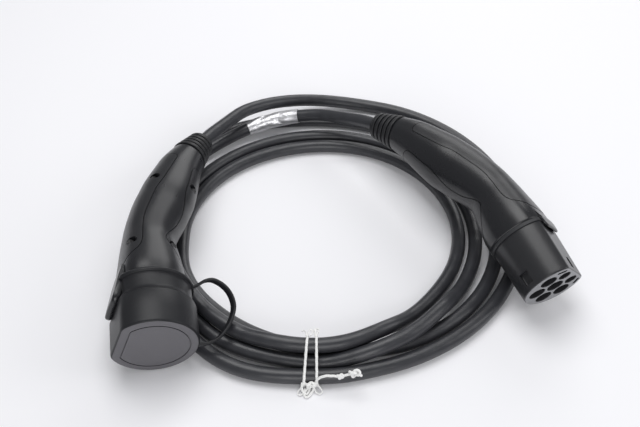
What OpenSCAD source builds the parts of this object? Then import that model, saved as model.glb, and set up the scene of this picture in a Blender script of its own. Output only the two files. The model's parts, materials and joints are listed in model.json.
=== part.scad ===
// Electric vehicle charging cable with a seven contact connector at one end and a
// capped seven pin plug at the other, coiled and tied, with both handsets laid on the coil.
// Millimetres, +Z up, standing on z = 0. Each handset is drawn in its own frame first:
// +X out of the contact face, +Z towards the spine, the contact face at x = 0.

/* [Cable] */
// Outer diameter of the cable jacket
cable_d = 12.5; // [10:0.5:16]
// Radius of the coil, at the middle of its innermost turn
coil_r = 127.5; // [122:0.5:150]
// Sideways gap between turns that lie beside each other
turn_gap = 0.3; // [0.3:0.1:1.6]
// Diameter of the string that ties the coil
tie_d = 2.4; // [1.6:0.1:3.2]
// Sideways distance between the two strands of the string
tie_step = 7.5; // [6:0.5:12]
// Length of the foil label on the cable
label_len = 52; // [30:1:80]
// Thickness of the foil label
label_t = 0.5; // [0.3:0.1:1]

/* [Handset shell] */
// Length of the shell, from its front flange to its cable end
body_len = 158; // [140:1:180]
// How far the cable end lies below the contact axis
grip_drop = 47.5; // [40:0.5:55]
// Tilt of the grip against the contact axis, in degrees
grip_tilt = 33; // [27:1:38]
// Diameter of the shell at its cable end
rear_d = 32; // [30:0.5:36]
// Height of the grip
grip_h = 50; // [46:0.5:54]
// Width of the grip
grip_w = 46; // [43:0.5:50]
// Height of the neck behind the flange
neck_h = 44; // [42:0.5:48]
// Width of the neck behind the flange
neck_w = 48; // [46:0.5:52]
// Height of the shell at its front flange
front_h = 55; // [53:0.5:58]
// Width of the shell at its front flange
front_w = 62; // [60:0.5:66]
// How far the middle of the flange lies below the contact axis
front_drop = 3.5; // [2.5:0.1:4]
// Wall thickness of the shell halves
wall = 4; // [3.2:0.1:4.4]
// Thickness of the spine cover and of the grip pad
panel_t = 2.2; // [1.6:0.1:2.6]
// Gap along the panel seams
seam_gap = 0.5; // [0.3:0.1:0.8]

/* [Contacts] */
// Distance from the contact face back to the shell's flange
nose_len = 50; // [46:0.5:54]
// Sideways distance of the outer contacts in the middle row
pitch_y = 16; // [15.5:0.1:16.5]
// Height of the lower contacts below the middle row
drop_low = 14.5; // [14:0.1:15]
// Height of the signal contacts above the middle row
rise_high = 12.3; // [12:0.1:13]
// Diameter of a power pin
power_d = 6; // [5:0.5:6]
// Diameter of a signal pin
signal_d = 3; // [2:0.5:3]
// Diameter of the chamber round a power contact
power_chamber_d = 13.6; // [13:0.1:14]
// Diameter of the chamber round a signal contact
signal_chamber_d = 10; // [9:0.1:10.4]
// Depth of the chambers
chamber_depth = 33; // [30:0.5:38]
// Distance of the contact sockets behind the contact face
contact_setback = 9; // [6:0.5:12]
// Depth of the socket in a contact
socket_depth = 26; // [20:0.5:28]
// Wall thickness of a contact socket
contact_wall = 1.4; // [1:0.1:1.6]

/* [Connector nose] */
// Radius of the nose at its base
nose_r = 29.6; // [29:0.1:30]
// Height of the flat side of the nose at its base
nose_flat = 21.6; // [21:0.1:22]
// Size of the nose at its face, as a share of the base
nose_taper = 0.94; // [0.93:0.01:1]
// Radius of the corners beside the flat side
nose_corner = 6; // [3:0.5:8]
// Length of the visible sealing ring
seal_len = 2.8; // [1.5:0.1:4]
// How far the hood of the connector reaches past its flange
connector_hood = 8.5; // [6:0.5:12]

/* [Plug and cap] */
// Radius of the plug's sleeve
sleeve_r = 31.6; // [31:0.1:33]
// Height of the flat side of the sleeve above its middle
sleeve_flat = 25.4; // [25:0.1:26]
// Wall thickness of the sleeve
sleeve_wall = 2.4; // [2:0.1:3]
// How far the middle of the sleeve lies below the middle contact
sleeve_drop = 2.3; // [1.8:0.1:2.6]
// Thickness of the rubber cap
cap_t = 4; // [3:0.1:4.4]
// Length of the cap
cap_len = 31.3; // [28:0.1:36]
// Length of the collar that holds the cap's strap
collar_len = 18; // [12:0.5:20]
// Thickness of the collar
collar_t = 1.4; // [1:0.1:2]
// Thickness of the strap
strap_t = 2.6; // [2:0.1:3.4]
// Width of the strap
strap_w = 6; // [4:0.5:8]
// How far the hood of the plug reaches past its flange
plug_hood = 21; // [18:0.5:24]

/* [Boot and fasteners] */
// Length of the ribbed boot outside the shell
boot_len = 27; // [22:0.5:34]
// Number of ribs on the boot
boot_ribs = 5; // [3:1:7]
// Diameter of the boot at the cable end
boot_end_d = 26; // [24:0.5:28]
// Diameter of the boot at the shell
boot_d = 34; // [32:0.5:36]
// Depth of the grooves between the ribs
boot_groove = 2.2; // [1.2:0.1:3]
// Length of the cable clamp
clamp_len = 12; // [8:0.5:16]
// Diameter of the housing screws
screw_d = 3; // [2.5:0.1:3.5]
// Length of the housing screws under the head
screw_len = 22; // [18:0.5:24]
// Diameter of the screw heads
screw_head_d = 5.6; // [5:0.1:6]

/* [Placing] */
// Place of the coil's middle, sideways
coil_x = -21; // [-40:0.5:-10]
// Place of the coil's middle, front to back
coil_y = 20; // [10:0.5:40]
// Distance of the connector's contact face to the right of the coil's middle
connector_x = 191; // [188:0.5:198]
// Distance of the connector's contact face in front of the coil's middle
connector_y = 87; // [82:0.5:92]
// Height of the connector's contact axis over the coil, at its face
connector_rise = 12; // [12:0.5:20]
// Distance of the plug's cap to the left of the coil's middle
plug_x = 133; // [128:0.5:138]
// Distance of the plug's cap in front of the coil's middle
plug_y = 147; // [142:0.5:152]

/* [Hidden] */
$fn = 48;

fit = 0.15;        // clearance round a piece that is pushed into another
seat = 0.05;       // clearance under a panel and round the clamp
slip = 0.1;        // clearance round the cable
eps = 1;           // how far a cutter runs past the face that it cuts

shell_color = "#2b2c30";
panel_color = "#303136";
rubber_color = "#26272b";
cable_color = "#222326";
metal_color = "#b9bcc2";
string_color = "#f2f2f0";

// Turn and place of each handset: yaw, nose down, roll, all in degrees
connector_turn = [-66, 13, -49.5];
plug_turn = [-80, 6, 69.5];

function rotation(t) =
    let (cy = cos(t[0]), sy = sin(t[0]), cp = cos(t[1]), sp = sin(t[1]), cr = cos(t[2]), sr = sin(t[2]))
    [[cy * cp, cy * sp * sr - sy * cr, cy * sp * cr + sy * sr],
     [sy * cp, sy * sp * sr + cy * cr, sy * sp * cr - cy * sr],
     [-sp, cp * sr, cp * cr]];

turn_step = cable_d + turn_gap;
top_rise = sqrt(pow(cable_d + 0.2, 2) - pow(turn_step / 2, 2));
top_z = cable_d / 2 + top_rise;
stack_h = cable_d + top_rise;

cap_r = sleeve_r + fit + cap_t;
cap_front = cap_t - 1.3;
connector_at = [coil_x + connector_x, coil_y - connector_y, stack_h + connector_rise];
plug_at = [coil_x - plug_x, coil_y - plug_y,
           cap_front * sin(plug_turn[1]) + cap_r * cos(plug_turn[1])
           + sleeve_drop * cos(plug_turn[1]) * cos(plug_turn[2])];

function placed(at, turn, p) = at + rotation(turn) * p;
module place(at, turn) {
    m = rotation(turn);
    multmatrix([[m[0][0], m[0][1], m[0][2], at[0]], [m[1][0], m[1][1], m[1][2], at[1]],
                [m[2][0], m[2][1], m[2][2], at[2]], [0, 0, 0, 1]]) children();
}
module on_connector() place(connector_at, connector_turn) children();
module on_plug() place(plug_at, plug_turn) children();

// Turns a shape drawn along +Z so that it runs along +X, with its own +X down
module along_x(x = 0) translate([x, 0, 0]) rotate([0, 90, 0]) children();
// A flat shape drawn in [y, z] is pushed along +X from x for len
module slab_x(x, len) translate([x, 0, 0]) rotate([90, 0, 90]) linear_extrude(len) children();
// A flat shape drawn in [x, z] is pushed along Y over the whole width
module side_cut(width = 100) rotate([90, 0, 0]) linear_extrude(width, center = true) children();

// Shell form. Rows run from the cable end to the flange and hold shares:
// of the length, of the drop, of the tilt, and the section, where 0 is the cable end,
// 1 the grip, 2 the neck and 3 the flange.
ROWS = [
    [1.000, 1.00, 1.00, 0.00], [0.886, 0.79, 0.94, 0.45], [0.772, 0.63, 0.88, 0.75],
    [0.652, 0.46, 0.82, 1.00], [0.538, 0.29, 0.76, 1.00], [0.411, 0.11, 0.60, 1.60],
    [0.304, 0.01, 0.30, 2.00], [0.190, 0.00, 0.06, 2.50], [0.076, 0.00, 0.00, 2.93],
    [0.000, 0.00, 0.00, 3.00]
];
SECTION_H = [[0, rear_d / 2], [1, grip_h / 2], [2, neck_h / 2], [3, front_h / 2]];
SECTION_W = [[0, rear_d / 2], [1, grip_w / 2], [2, neck_w / 2], [3, front_w / 2]];
SQUARE_TOP = [[0, 2], [1, 2.2], [2, 2.5], [3, 3]];
SQUARE_LOW = [[0, 2], [1, 2.1], [3, 2.1]];
shell_steps = 9;
section_points = 24;
inner_points = 14;
round_steps = 24;

// Point at share f of the way from b to c on a smooth curve through a, b, c, d
function smooth(a, b, c, d, f) =
    0.5 * (2 * b + (c - a) * f + (2 * a - 5 * b + 4 * c - d) * f * f
    + (3 * b - a - 3 * c + d) * f * f * f);
function on_list(list, t) =
    let (n = len(list) - 1, i = min(floor(t), n - 1))
    smooth(list[max(i - 1, 0)], list[i], list[i + 1], list[min(i + 2, n)], t - i);
function shell_row(i) = on_list(ROWS, i * (len(ROWS) - 1) / shell_steps);
function middle(row) =
    [-nose_len - row[0] * body_len, 0, -front_drop - row[1] * (grip_drop - front_drop)];
function power(v, n) = sign(v) * pow(abs(v), 2 / n);
// Points lie on a fine grid, so that neighbouring lengths of the form meet cleanly
function on_grid(p) = [for (v = p) round(v * 200) / 200];

// Closed ring of points round the shell at one row, moved in by inset and along by shift
function shell_ring(row, inset, shift, points) =
    let (a = row[2] * grip_tilt, m = middle(row) + shift * [cos(a), 0, sin(a)],
         h = lookup(row[3], SECTION_H) - inset, w = lookup(row[3], SECTION_W) - inset)
    [for (k = [0 : points - 1])
        let (p = 360 * k / points, c = cos(p),
             n = lookup(row[3], c > 0 ? SQUARE_TOP : SQUARE_LOW), u = h * power(c, n))
        on_grid(m + [-u * sin(a), w * power(sin(p), n), u * cos(a)])];

// Solid between two rings, which are both outlines of a flat bulging shape
module between(a, b) hull()
    polyhedron(concat(a, b), [[for (i = [0 : len(a) - 1]) i], [for (i = [0 : len(b) - 1]) len(a) + i]]);
// The shell's form as one solid, inset all round. An inset form is also longer at both ends.
module shell_form(inset = 0, points = section_points) {
    over = inset > 0 ? eps : 0;
    for (i = [0 : shell_steps - 1])
        between(shell_ring(shell_row(i), inset, i == 0 ? -over : 0, points),
                shell_ring(shell_row(i + 1), inset, i == shell_steps - 1 ? over : 0, points));
}
module shell_room() shell_form(wall, inner_points);

// Side views of the two panels, in [x, z] from the flange, grown by grow. The spine cover
// ends in an S bend at the front, and the grip pad in a point at the neck. They were drawn on
// a shell of the length and drop below, and stretch with it.
drawn_len = 158;
drawn_drop = 47.5;
function drawn(x, z) = [x * body_len / drawn_len, z * grip_drop / drawn_drop];
SPINE_SEAM = [[-150, -14], [-147, -22], [-144, -28.5], [-140, -30.5], [-133, -27.5], [-110, -16],
              [-97, -8.5], [-83, -3], [-65, 3.5], [-52, 6], [-34, 8], [-25, 11.5], [-19, 18],
              [-10, 24], [-4, 26.5]];
PAD_SEAM = [[-121, -68], [-126, -60], [-129.5, -53], [-129, -47.5], [-125, -43.5], [-107, -38],
            [-96, -34.5], [-74, -31], [-58, -24], [-47, -16], [-40, -12.3], [-36, -13], [-30, -16.5],
            [-18, -24], [-10, -29.5]];
function curve(list, step) = [for (t = [0 : step : len(list) - 1]) on_list(list, t)];
module zone(points, grow) offset(delta = grow) translate([-nose_len, 0])
    polygon([for (p = points) drawn(p[0], p[1])]);
module spine_zone(grow = 0) zone(concat(curve(SPINE_SEAM, 0.5), [[-2, 45], [-160, 45]]), grow);
module pad_zone(grow = 0)
    zone(concat(curve(PAD_SEAM, 0.5), [[-8, -60], [-60, -100], [-118, -90]]), grow);

// Housing screws: place in [x, z] from the flange, and the height of the head's seat above
// the middle plane
SCREWS = [for (s = [[-113, -9, 11], [-35, 15.5, 15], [-104.5, -43, 11], [-34, -18.5, 17]])
    let (p = drawn(s[0], s[1])) [p[0] - nose_len, p[1], s[2]]];
boss_r = screw_d / 2 + 2.3;
pilot = screw_d / 2 + 0.05;
module along_y(at, from) translate([at[0], from, at[1]]) rotate([-90, 0, 0]) children();

// One shell half. side is 1 for the half on +Y, which takes the screw heads, and -1 for the other.
module shell_half(side, hood) color(shell_color) difference() {
    union() {
        difference() {
            union() {
                shell_form();
                hood_form(hood);
            }
            shell_room();
        }
        intersection() {
            for (s = SCREWS) along_y(s, -40) cylinder(h = 80, r = boss_r, $fn = round_steps);
            shell_form(0.6);
        }
    }
    difference() {
        side_cut() {
            spine_zone(seam_gap / 2);
            pad_zone(seam_gap / 2);
        }
        shell_form(panel_t + seat);
    }
    translate([-300, side > 0 ? -60 : 0, -120]) cube([400, 60, 200]);
    for (s = SCREWS) along_y(s, side > 0 ? -eps : s[2] - screw_len - 1)
        cylinder(h = 60, r = side > 0 ? pilot + fit : pilot, $fn = round_steps);
    if (side > 0) for (s = SCREWS) along_y(s, s[2])
        cylinder(h = 40, r = screw_head_d / 2 + 0.3, $fn = round_steps);
}

// The flared lip over the flat side: a bent plate with round front corners
lip_t = 2.4;
module hood_form(hood) difference() {
    intersection() {
        side_cut(34) translate([-nose_len, 0])
            polygon([[-12, 16], [-12, hood[1] - 3.2], [-1, hood[1]], [hood[0] - 1, hood[2] + lip_t],
                     [hood[0], hood[2] + lip_t / 2], [hood[0], hood[2]], [0, hood[1] - lip_t], [0, 16]]);
        linear_extrude(60) hull() {
            translate([-nose_len - 14, -17]) square([8, 34]);
            for (s = [-1, 1]) translate([-nose_len + hood[0] - 7, s * 8]) circle(7);
        }
    }
    shell_room();
}
// How far each hood reaches, its outer height at the flange, and its inner height at its end
connector_lip = [connector_hood, front_h / 2 - front_drop + 0.9, nose_flat + 0.9];
plug_lip = [plug_hood, sleeve_flat - sleeve_drop + collar_t + lip_t + 0.4,
            sleeve_flat - sleeve_drop + cap_t + 2.8];

module spine_cover() color(panel_color) difference() {
    intersection() {
        difference() {
            shell_form();
            shell_form(panel_t);
        }
        side_cut() spine_zone(-seam_gap / 2);
    }
    screw_wells();
}
module grip_pad() color(panel_color) difference() {
    intersection() {
        difference() {
            shell_form();
            shell_form(panel_t);
        }
        side_cut() pad_zone(-seam_gap / 2);
    }
    screw_wells();
}
module screw_wells() for (s = SCREWS) along_y(s, 0)
    cylinder(h = 60, r = screw_head_d / 2 + 0.3, $fn = round_steps);

module screws() color(metal_color) for (s = SCREWS) along_y(s, s[2]) {
    cylinder(h = 2.4, d = screw_head_d);
    translate([0, 0, -screw_len + eps]) cylinder(h = screw_len - eps / 2, d = screw_d);
}

// Outline with one flat side up, as a circle of radius r cut at height flat, with round corners.
// It is drawn in [y, z].
module d_outline(r, flat, corner) {
    cz = flat - corner;
    cy = sqrt(pow(r - corner, 2) - cz * cz);
    far = 1.5 * r / (r - corner);
    intersection() {
        circle(r);
        polygon([[-2 * r, -2 * r], [2 * r, -2 * r], [far * cy, far * cz], [cy, cz], [cy, flat],
                 [-cy, flat], [-cy, cz], [-far * cy, far * cz]]);
    }
    for (s = [-1, 1]) translate([s * cy, cz]) circle(corner);
}

// Contact places in [y, z]
function contact_at(name) =
    name == "l1" ? [pitch_y, 0] : name == "n" ? [-pitch_y, 0]
    : name == "l2" ? [pitch_y / 2, -drop_low] : name == "l3" ? [-pitch_y / 2, -drop_low]
    : name == "cp" ? [pitch_y / 2, rise_high] : name == "pp" ? [-pitch_y / 2, rise_high] : [0, 0];
POWER = ["pe", "l1", "l2", "l3", "n"];
SIGNAL = ["cp", "pp"];
power_r = power_d / 2 + contact_wall;
signal_r = signal_d / 2 + contact_wall - 0.2;
module at_contacts(names) for (c = names) let (p = contact_at(c)) translate([0, p[0], p[1]]) children();

spigot_r = 22.4;
spigot_flat = 16.8;
spigot_len = 10;
carrier_len = 6;
carrier_front = -nose_len - spigot_len;
carrier_x = carrier_front - carrier_len;
tail_x = carrier_x - 4;
collar_x = carrier_front - 2;

// Holes for seven contacts or pins of the given radii, from x over len
module contact_holes(x, len, rp, rs) {
    at_contacts(POWER) along_x(x) cylinder(h = len, r = rp);
    at_contacts(SIGNAL) along_x(x) cylinder(h = len, r = rs);
}

// The connector's nose: tapered outside, seven chambers, two slots at the corners of the
// face, and the pockets that the inlet's latches hold
slot_y = 17.5;
slot_z = 13.3;
module connector_nose() color(shell_color) difference() {
    union() {
        translate([-nose_len, 0, 0]) rotate([90, 0, 90])
            linear_extrude(nose_len, scale = nose_taper) d_outline(nose_r, nose_flat, nose_corner);
        slab_x(-nose_len - spigot_len, spigot_len) d_outline(spigot_r, spigot_flat, 4);
    }
    contact_holes(-chamber_depth, chamber_depth + eps, power_chamber_d / 2, signal_chamber_d / 2);
    contact_holes(-nose_len - spigot_len - eps, nose_len, power_r + fit, signal_r + fit);
    for (s = [-1, 1]) translate([-10, s * slot_y, slot_z]) rotate([s * 52, 0, 0])
        translate([0, -4.5, -1.4]) cube([10 + eps, 9, 2.8]);
    for (s = [-1, 1]) translate([-16, s * 26, -12.5]) rotate([s * -22, 0, 0])
        translate([0, -4, -4.5]) cube([11, 8, 9]);
    translate([-15, -3.5, nose_flat * 0.95 - 2.2]) cube([10, 7, 10]);
}

module connector_seal() color("#5a5c62") difference() {
    slab_x(-nose_len, seal_len) d_outline(nose_r + 1.2, nose_flat + 0.6, nose_corner);
    slab_x(-nose_len - eps, seal_len + 2 * eps) d_outline(nose_r + fit, nose_flat + fit, nose_corner);
}

module contact_carrier() color("#d8d8d4") difference() {
    slab_x(carrier_x, carrier_len) d_outline(spigot_r - 0.3, spigot_flat - 0.3, 4);
    contact_holes(carrier_x - eps, carrier_len + 2 * eps, power_r + fit, signal_r + fit);
    contact_holes(collar_x, 2 + eps, power_r + 1.2, signal_r + 1.2);
}

// Socket contact: a turned sleeve with a blind socket, a narrower tail, and a collar that is
// held between the nose and the carrier
module contact(name) {
    p = contact_at(name);
    signal = name == "cp" || name == "pp";
    r = signal ? signal_r : power_r;
    bore = signal ? signal_d / 2 : power_d / 2;
    color(metal_color) translate([0, p[0], p[1]]) along_x() difference() {
        union() {
            translate([0, 0, carrier_x]) cylinder(h = -contact_setback - carrier_x, r = r);
            translate([0, 0, tail_x]) cylinder(h = 10, r = r - 0.9);
            translate([0, 0, collar_x]) cylinder(h = 2, r = r + 1);
        }
        translate([0, 0, -contact_setback - socket_depth]) cylinder(h = socket_depth + eps, r = bore);
    }
}

// Pin: a turned rod with a chamfered tip, a thicker foot and the same collar
pin_front = -12;
module pin(name) {
    p = contact_at(name);
    signal = name == "cp" || name == "pp";
    r = signal ? signal_d / 2 : power_d / 2;
    foot_r = signal ? signal_r : power_r;
    tip = name == "pe" ? pin_front + 3 : signal ? pin_front - 4 : pin_front;
    color(metal_color) translate([0, p[0], p[1]]) along_x() union() {
        translate([0, 0, tail_x]) cylinder(h = tip - 1 - tail_x, r = r);
        translate([0, 0, tip - 1]) cylinder(h = 1, r1 = r, r2 = r - 0.8);
        translate([0, 0, carrier_x]) cylinder(h = base_x + foot - carrier_x, r = foot_r);
        translate([0, 0, collar_x]) cylinder(h = 2, r = foot_r + 1);
    }
}

// Resistor between two tails behind the carrier, which codes the cable's rating
module coding_resistor() color("#b58a5a") translate([carrier_x - 3.4, 0, rise_high - 5])
    union() {
        rotate([90, 0, 0]) cylinder(h = 8, r = 1.6, center = true);
        for (s = [-1, 1]) translate([0, s * 3.2, 0]) along_x() cylinder(h = 3.4, r = 0.5);
    }

// Cable end of the shell: its plane, and the run of the cable through boot and clamp
end_row = shell_row(0);
end_mid = middle(end_row);
end_dir = [-cos(grip_tilt), 0, -sin(grip_tilt)];
module at_cable_end() translate(end_mid) rotate([0, 270 - grip_tilt, 0]) children();

// Ribbed boot, turned about the cable: a flange inside the shell, then ribs that get smaller
boot_spigot = 9;
module boot() color(rubber_color) at_cable_end() difference() {
    rotate_extrude() union() {
        polygon([[0, -boot_spigot], [rear_d / 2 - wall - fit, -boot_spigot],
                 [rear_d / 2 - wall - fit, 0], [boot_d / 2 - boot_groove, 0],
                 [boot_end_d / 2 - boot_groove, boot_len], [0, boot_len]]);
        for (i = [0 : boot_ribs - 1]) {
            z = boot_len * i / boot_ribs;
            r = boot_d / 2 + (boot_end_d - boot_d) / 2 * i / (boot_ribs - 1);
            polygon([[0, z], [r - 0.5, z], [r, z + 0.6], [r - 0.3, z + 0.62 * boot_len / boot_ribs],
                     [0, z + 0.66 * boot_len / boot_ribs]]);
        }
    }
    translate([0, 0, -boot_spigot - eps])
        cylinder(h = boot_len + boot_spigot + 2 * eps, r = cable_d / 2 + slip);
}

// Clamp round the cable, a block that fills the shell behind the boot
clamp_start = boot_spigot + 2;
module cable_clamp() color("#d8d8d4") difference() {
    intersection() {
        shell_form(wall + seat, inner_points);
        at_cable_end() translate([0, 0, -clamp_start - clamp_len]) cylinder(h = clamp_len, r = 40);
    }
    at_cable_end() translate([0, 0, -60]) cylinder(h = 80, r = cable_d / 2 + slip, $fn = 24);
}

// Tube swept along points that already lie close together, with round sections of radius r
function unit(v) = v / norm(v);
function tangent(p, i) = unit(p[min(i + 1, len(p) - 1)] - p[max(i - 1, 0)]);
function side_of(t) = unit(cross(t, [0, 0, 1]));
function round_ring(at, t, r, sides) =
    let (s = side_of(t), u = cross(s, t))
    [for (k = [0 : sides - 1]) at + r * (cos(360 * k / sides) * s + sin(360 * k / sides) * u)];
module tube(path, r, sides = 12) {
    n = len(path);
    points = [for (i = [0 : n - 1]) each round_ring(path[i], tangent(path, i), r, sides)];
    walls = [for (i = [0 : n - 2], k = [0 : sides - 1])
        let (a = i * sides + k, b = i * sides + (k + 1) % sides)
        each [[a, b, b + sides], [a, b + sides, a + sides]]];
    polyhedron(points, concat([[for (k = [sides - 1 : -1 : 0]) k]], walls,
                              [[for (k = [0 : sides - 1]) (n - 1) * sides + k]]));
}
// Thin sleeve between two radii, on the rings first to last of the same tube
module sleeve(path, first, last, r_in, r_out, sides = 12) {
    n = last - first + 1;
    rings = [for (r = [r_out, r_in]) each [for (i = [first : last])
        each round_ring(path[i], tangent(path, i), r, sides)]];
    m = n * sides;
    walls = [for (i = [0 : n - 2], k = [0 : sides - 1])
        let (a = i * sides + k, b = i * sides + (k + 1) % sides)
        each [[a, b, b + sides], [a, b + sides, a + sides], [m + b, m + a, m + a + sides],
              [m + b, m + a + sides, m + b + sides]]];
    ends = [for (k = [0 : sides - 1]) let (j = (k + 1) % sides, z = (n - 1) * sides)
        each [[k, m + k, m + j], [k, m + j, j], [z + k, z + j, m + z + j], [z + k, m + z + j, m + z + k]]];
    polyhedron(rings, concat(walls, ends));
}

// Insulated cores from the end of the cable to the tails of the contacts: each stays on the
// shell's middle line and spreads to its own contact at the neck. Steps hold [row, share].
core_r = 1.4;
core_ring = 4.2;
CORE_STEPS = [[2.1, 0], [3, 0.02], [4, 0.05], [5, 0.1], [6, 0.2], [6.5, 0.34], [6.95, 0.6]];
core_sides = 5;
function core_path(name) =
    let (p = contact_at(name), d = norm(p), near = d > 0 ? core_ring * p / d : p,
         a = grip_tilt, start = end_mid - end_dir * (clamp_start + clamp_len))
    concat([for (e = [0, 4]) start - end_dir * e + [-near[1] * sin(a), near[0], near[1] * cos(a)]],
           [for (c = CORE_STEPS) let (row = on_list(ROWS, c[0]), t = row[2] * grip_tilt,
                                     q = near * (1 - c[1]) + p * c[1])
               middle(row) + [-q[1] * sin(t), q[0], q[1] * cos(t) + front_drop * c[1]]],
           [[tail_x - 2.5, p[0], p[1]], [tail_x, p[0], p[1]]]);
module cores() for (c = concat(POWER, SIGNAL)) color(c == "pe" ? "#9aa832" : "#6b6f78")
    tube(core_path(c), core_r, core_sides);

// Plug front: sleeve, insert with chambers, and the cap with collar and strap moulded in one
insert_front = -10;
base_x = -nose_len + 8;
foot = 6;
module shifted() translate([0, -sleeve_drop]) children();
module plug_sleeve() color(shell_color) difference() {
    union() {
        slab_x(-nose_len, nose_len + cap_front - cap_t) shifted()
            d_outline(sleeve_r, sleeve_flat, nose_corner);
        slab_x(-nose_len - spigot_len, spigot_len) d_outline(spigot_r, spigot_flat, 4);
    }
    slab_x(base_x, nose_len) shifted()
        d_outline(sleeve_r - sleeve_wall, sleeve_flat - sleeve_wall, nose_corner - 1);
    contact_holes(-nose_len - spigot_len - eps, nose_len, power_r + fit, signal_r + fit);
}
module plug_insert() color(panel_color) difference() {
    slab_x(base_x, insert_front - base_x) shifted()
        d_outline(sleeve_r - sleeve_wall - 0.3, sleeve_flat - sleeve_wall - 0.3, nose_corner - 1);
    contact_holes(base_x + foot, nose_len, power_chamber_d / 2, signal_chamber_d / 2);
    contact_holes(base_x - eps, nose_len, power_r + fit, signal_r + fit);
}
cap_back = cap_front - cap_len;
module plug_cap() color("#4a4b50") union() {
    difference() {
        slab_x(cap_back, cap_len) shifted() d_outline(cap_r, sleeve_flat + fit + cap_t, nose_corner + 3);
        slab_x(cap_back - eps, cap_len + eps - cap_t) shifted()
            d_outline(sleeve_r + fit, sleeve_flat + fit, nose_corner);
        slab_x(cap_front - 0.6, 2) shifted() difference() {
            d_outline(cap_r - 7, sleeve_flat + cap_t - 7, nose_corner);
            d_outline(cap_r - 7.8, sleeve_flat + cap_t - 7.8, nose_corner - 0.8);
        }
    }
    difference() {
        slab_x(-nose_len, collar_len) shifted()
            d_outline(sleeve_r + collar_t, sleeve_flat + collar_t, nose_corner + 2);
        slab_x(-nose_len - eps, collar_len + 3) shifted()
            d_outline(sleeve_r, sleeve_flat, nose_corner);
    }
    ribbon(curve(STRAP, 1), strap_w / 2, strap_t / 2);
}
// Strap: a flat band bent into a loop through points chosen by hand, in [x, y, z] of the plug,
// from inside the collar to inside the rim of the cap
STRAP = [[-47, 12, -32.3], [-49.5, 14, -38], [-51, 18, -43], [-51, 20, -48.5], [-48, 20.5, -54.5],
         [-43, 20, -60], [-37, 18, -64], [-30, 15, -66], [-22, 12, -64.5], [-13, 8.5, -60],
         [-5, 5, -53], [-1.8, 2, -45], [-1.2, 0, -37]];
module ribbon(path, w, t) {
    n = len(path);
    across = unit([0.25, 1, -0.35]);
    points = [for (i = [0 : n - 1]) let (d = tangent(path, i), s = unit(across - (across * d) * d),
                                         u = cross(d, s))
        each [path[i] + w * s + t * u, path[i] + w * s - t * u,
              path[i] - w * s - t * u, path[i] - w * s + t * u]];
    walls = [for (i = [0 : n - 2], k = [0 : 3]) let (a = i * 4 + k, b = i * 4 + (k + 1) % 4)
        each [[a, b, b + 4], [a, b + 4, a + 4]]];
    e = (n - 1) * 4;
    polyhedron(points, concat([[3, 2, 1, 0]], walls, [[e, e + 1, e + 2, e + 3]]));
}

// Coil: the outer shape of the turns. Two full turns and one long arc lie on the surface, and
// more arcs lie in the grooves on top of them. The long arc's flat ends go on as the two leads.
outer_start = 150;
outer_end = 292;
TOP_ARCS = [[158, 174, 1.5], [222, 380, 0.5], [242, 288, 1.5]];
function lane_r(i) = coil_r + i * turn_step;
module lane(i, z) translate([lane_r(i), z]) circle(cable_d / 2);
module bridge(i) translate([lane_r(i), cable_d * 0.22]) square([turn_step, cable_d * 0.5]);
module arc(from, to) rotate([0, 0, from]) rotate_extrude(angle = to - from, $fn = 96) children();
module coil() color(cable_color) difference() {
    translate([coil_x, coil_y, 0]) union() {
        rotate_extrude($fn = 96) union() {
            lane(0, cable_d / 2);
            lane(1, cable_d / 2);
            bridge(0);
        }
        arc(outer_start, outer_end) union() {
            lane(2, cable_d / 2);
            bridge(1);
        }
        for (t = TOP_ARCS) arc(t[0], t[1]) union() {
            lane(t[2], top_z);
            translate([lane_r(t[2]) - cable_d * 0.2, cable_d * 0.5])
                square([cable_d * 0.4, cable_d * 0.5]);
        }
    }
    for (a = tie_at) translate([coil_x, coil_y, 0]) rotate([0, 0, a])
        translate([lane_r(-1), -tie_d / 2 - slip, -eps])
            cube([4 * turn_step, tie_d + 2 * slip, eps + tie_low + slip]);
}

// Leads: route points as [angle, radius, height of the middle] round the coil, chosen by hand,
// from the end of the boot to where the lead goes over into a turn of the coil
label_turn = label_len / 160 * 180 / PI;
LEAD_PLUG = [[125.7, 160.5, 27.5], [117, 172, 23], [109.5, 182, 15.5], [102, 190, 10],
             [94, 195.3, 7], [85, 196.8, 6.4], [75, 197.5, 6.4], [64, 198, 6.4], [52, 197, 6.4],
             [39, 193, 6.4], [26, 188.5, 6.4], [12, 184, 6.4], [-2, 179, 6.4], [-16, 173.5, 6.4],
             [-30, 167, 6.3], [-42, 161.5, 6.3], [-54, 157, 6.3]];
LEAD_CONNECTOR = [[82.3, 138, 31], [90.7, 148.4, 24.5], [99.3, 156, 19.5], [99.3 + label_turn, 168, 9],
                  [125, 168.5, 7], [132, 165, 6.4], [140, 160, 6.3]];
function polar(p) = [coil_x + p[1] * cos(p[0]), coil_y + p[1] * sin(p[0]), p[2]];
function out_of(at, turn) =
    [for (d = [-clamp_start - clamp_len, -4, boot_len, boot_len + 14])
        placed(at, turn, end_mid + end_dir * d)];
function into(angle, way, r, z) =
    let (p = polar([angle, r, z])) [p - 10 * way * [-sin(angle), cos(angle), 0], p];
function lead_path(start, list, end) =
    let (route = concat(start, [for (p = list) polar(p)], end))
    concat([for (t = [0 : 0.5 : len(route) - 2]) on_list(route, t)], [end[1]]);
plug_path = lead_path(out_of(plug_at, plug_turn), LEAD_PLUG,
                      into(outer_end - 360, -1, lane_r(2), cable_d / 2));
connector_path = lead_path(out_of(connector_at, connector_turn), LEAD_CONNECTOR,
                           into(outer_start, 1, lane_r(2), cable_d / 2));
module lead_plug() color(cable_color) tube(plug_path, cable_d / 2);
module lead_connector() color(cable_color) tube(connector_path, cable_d / 2);

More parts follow.
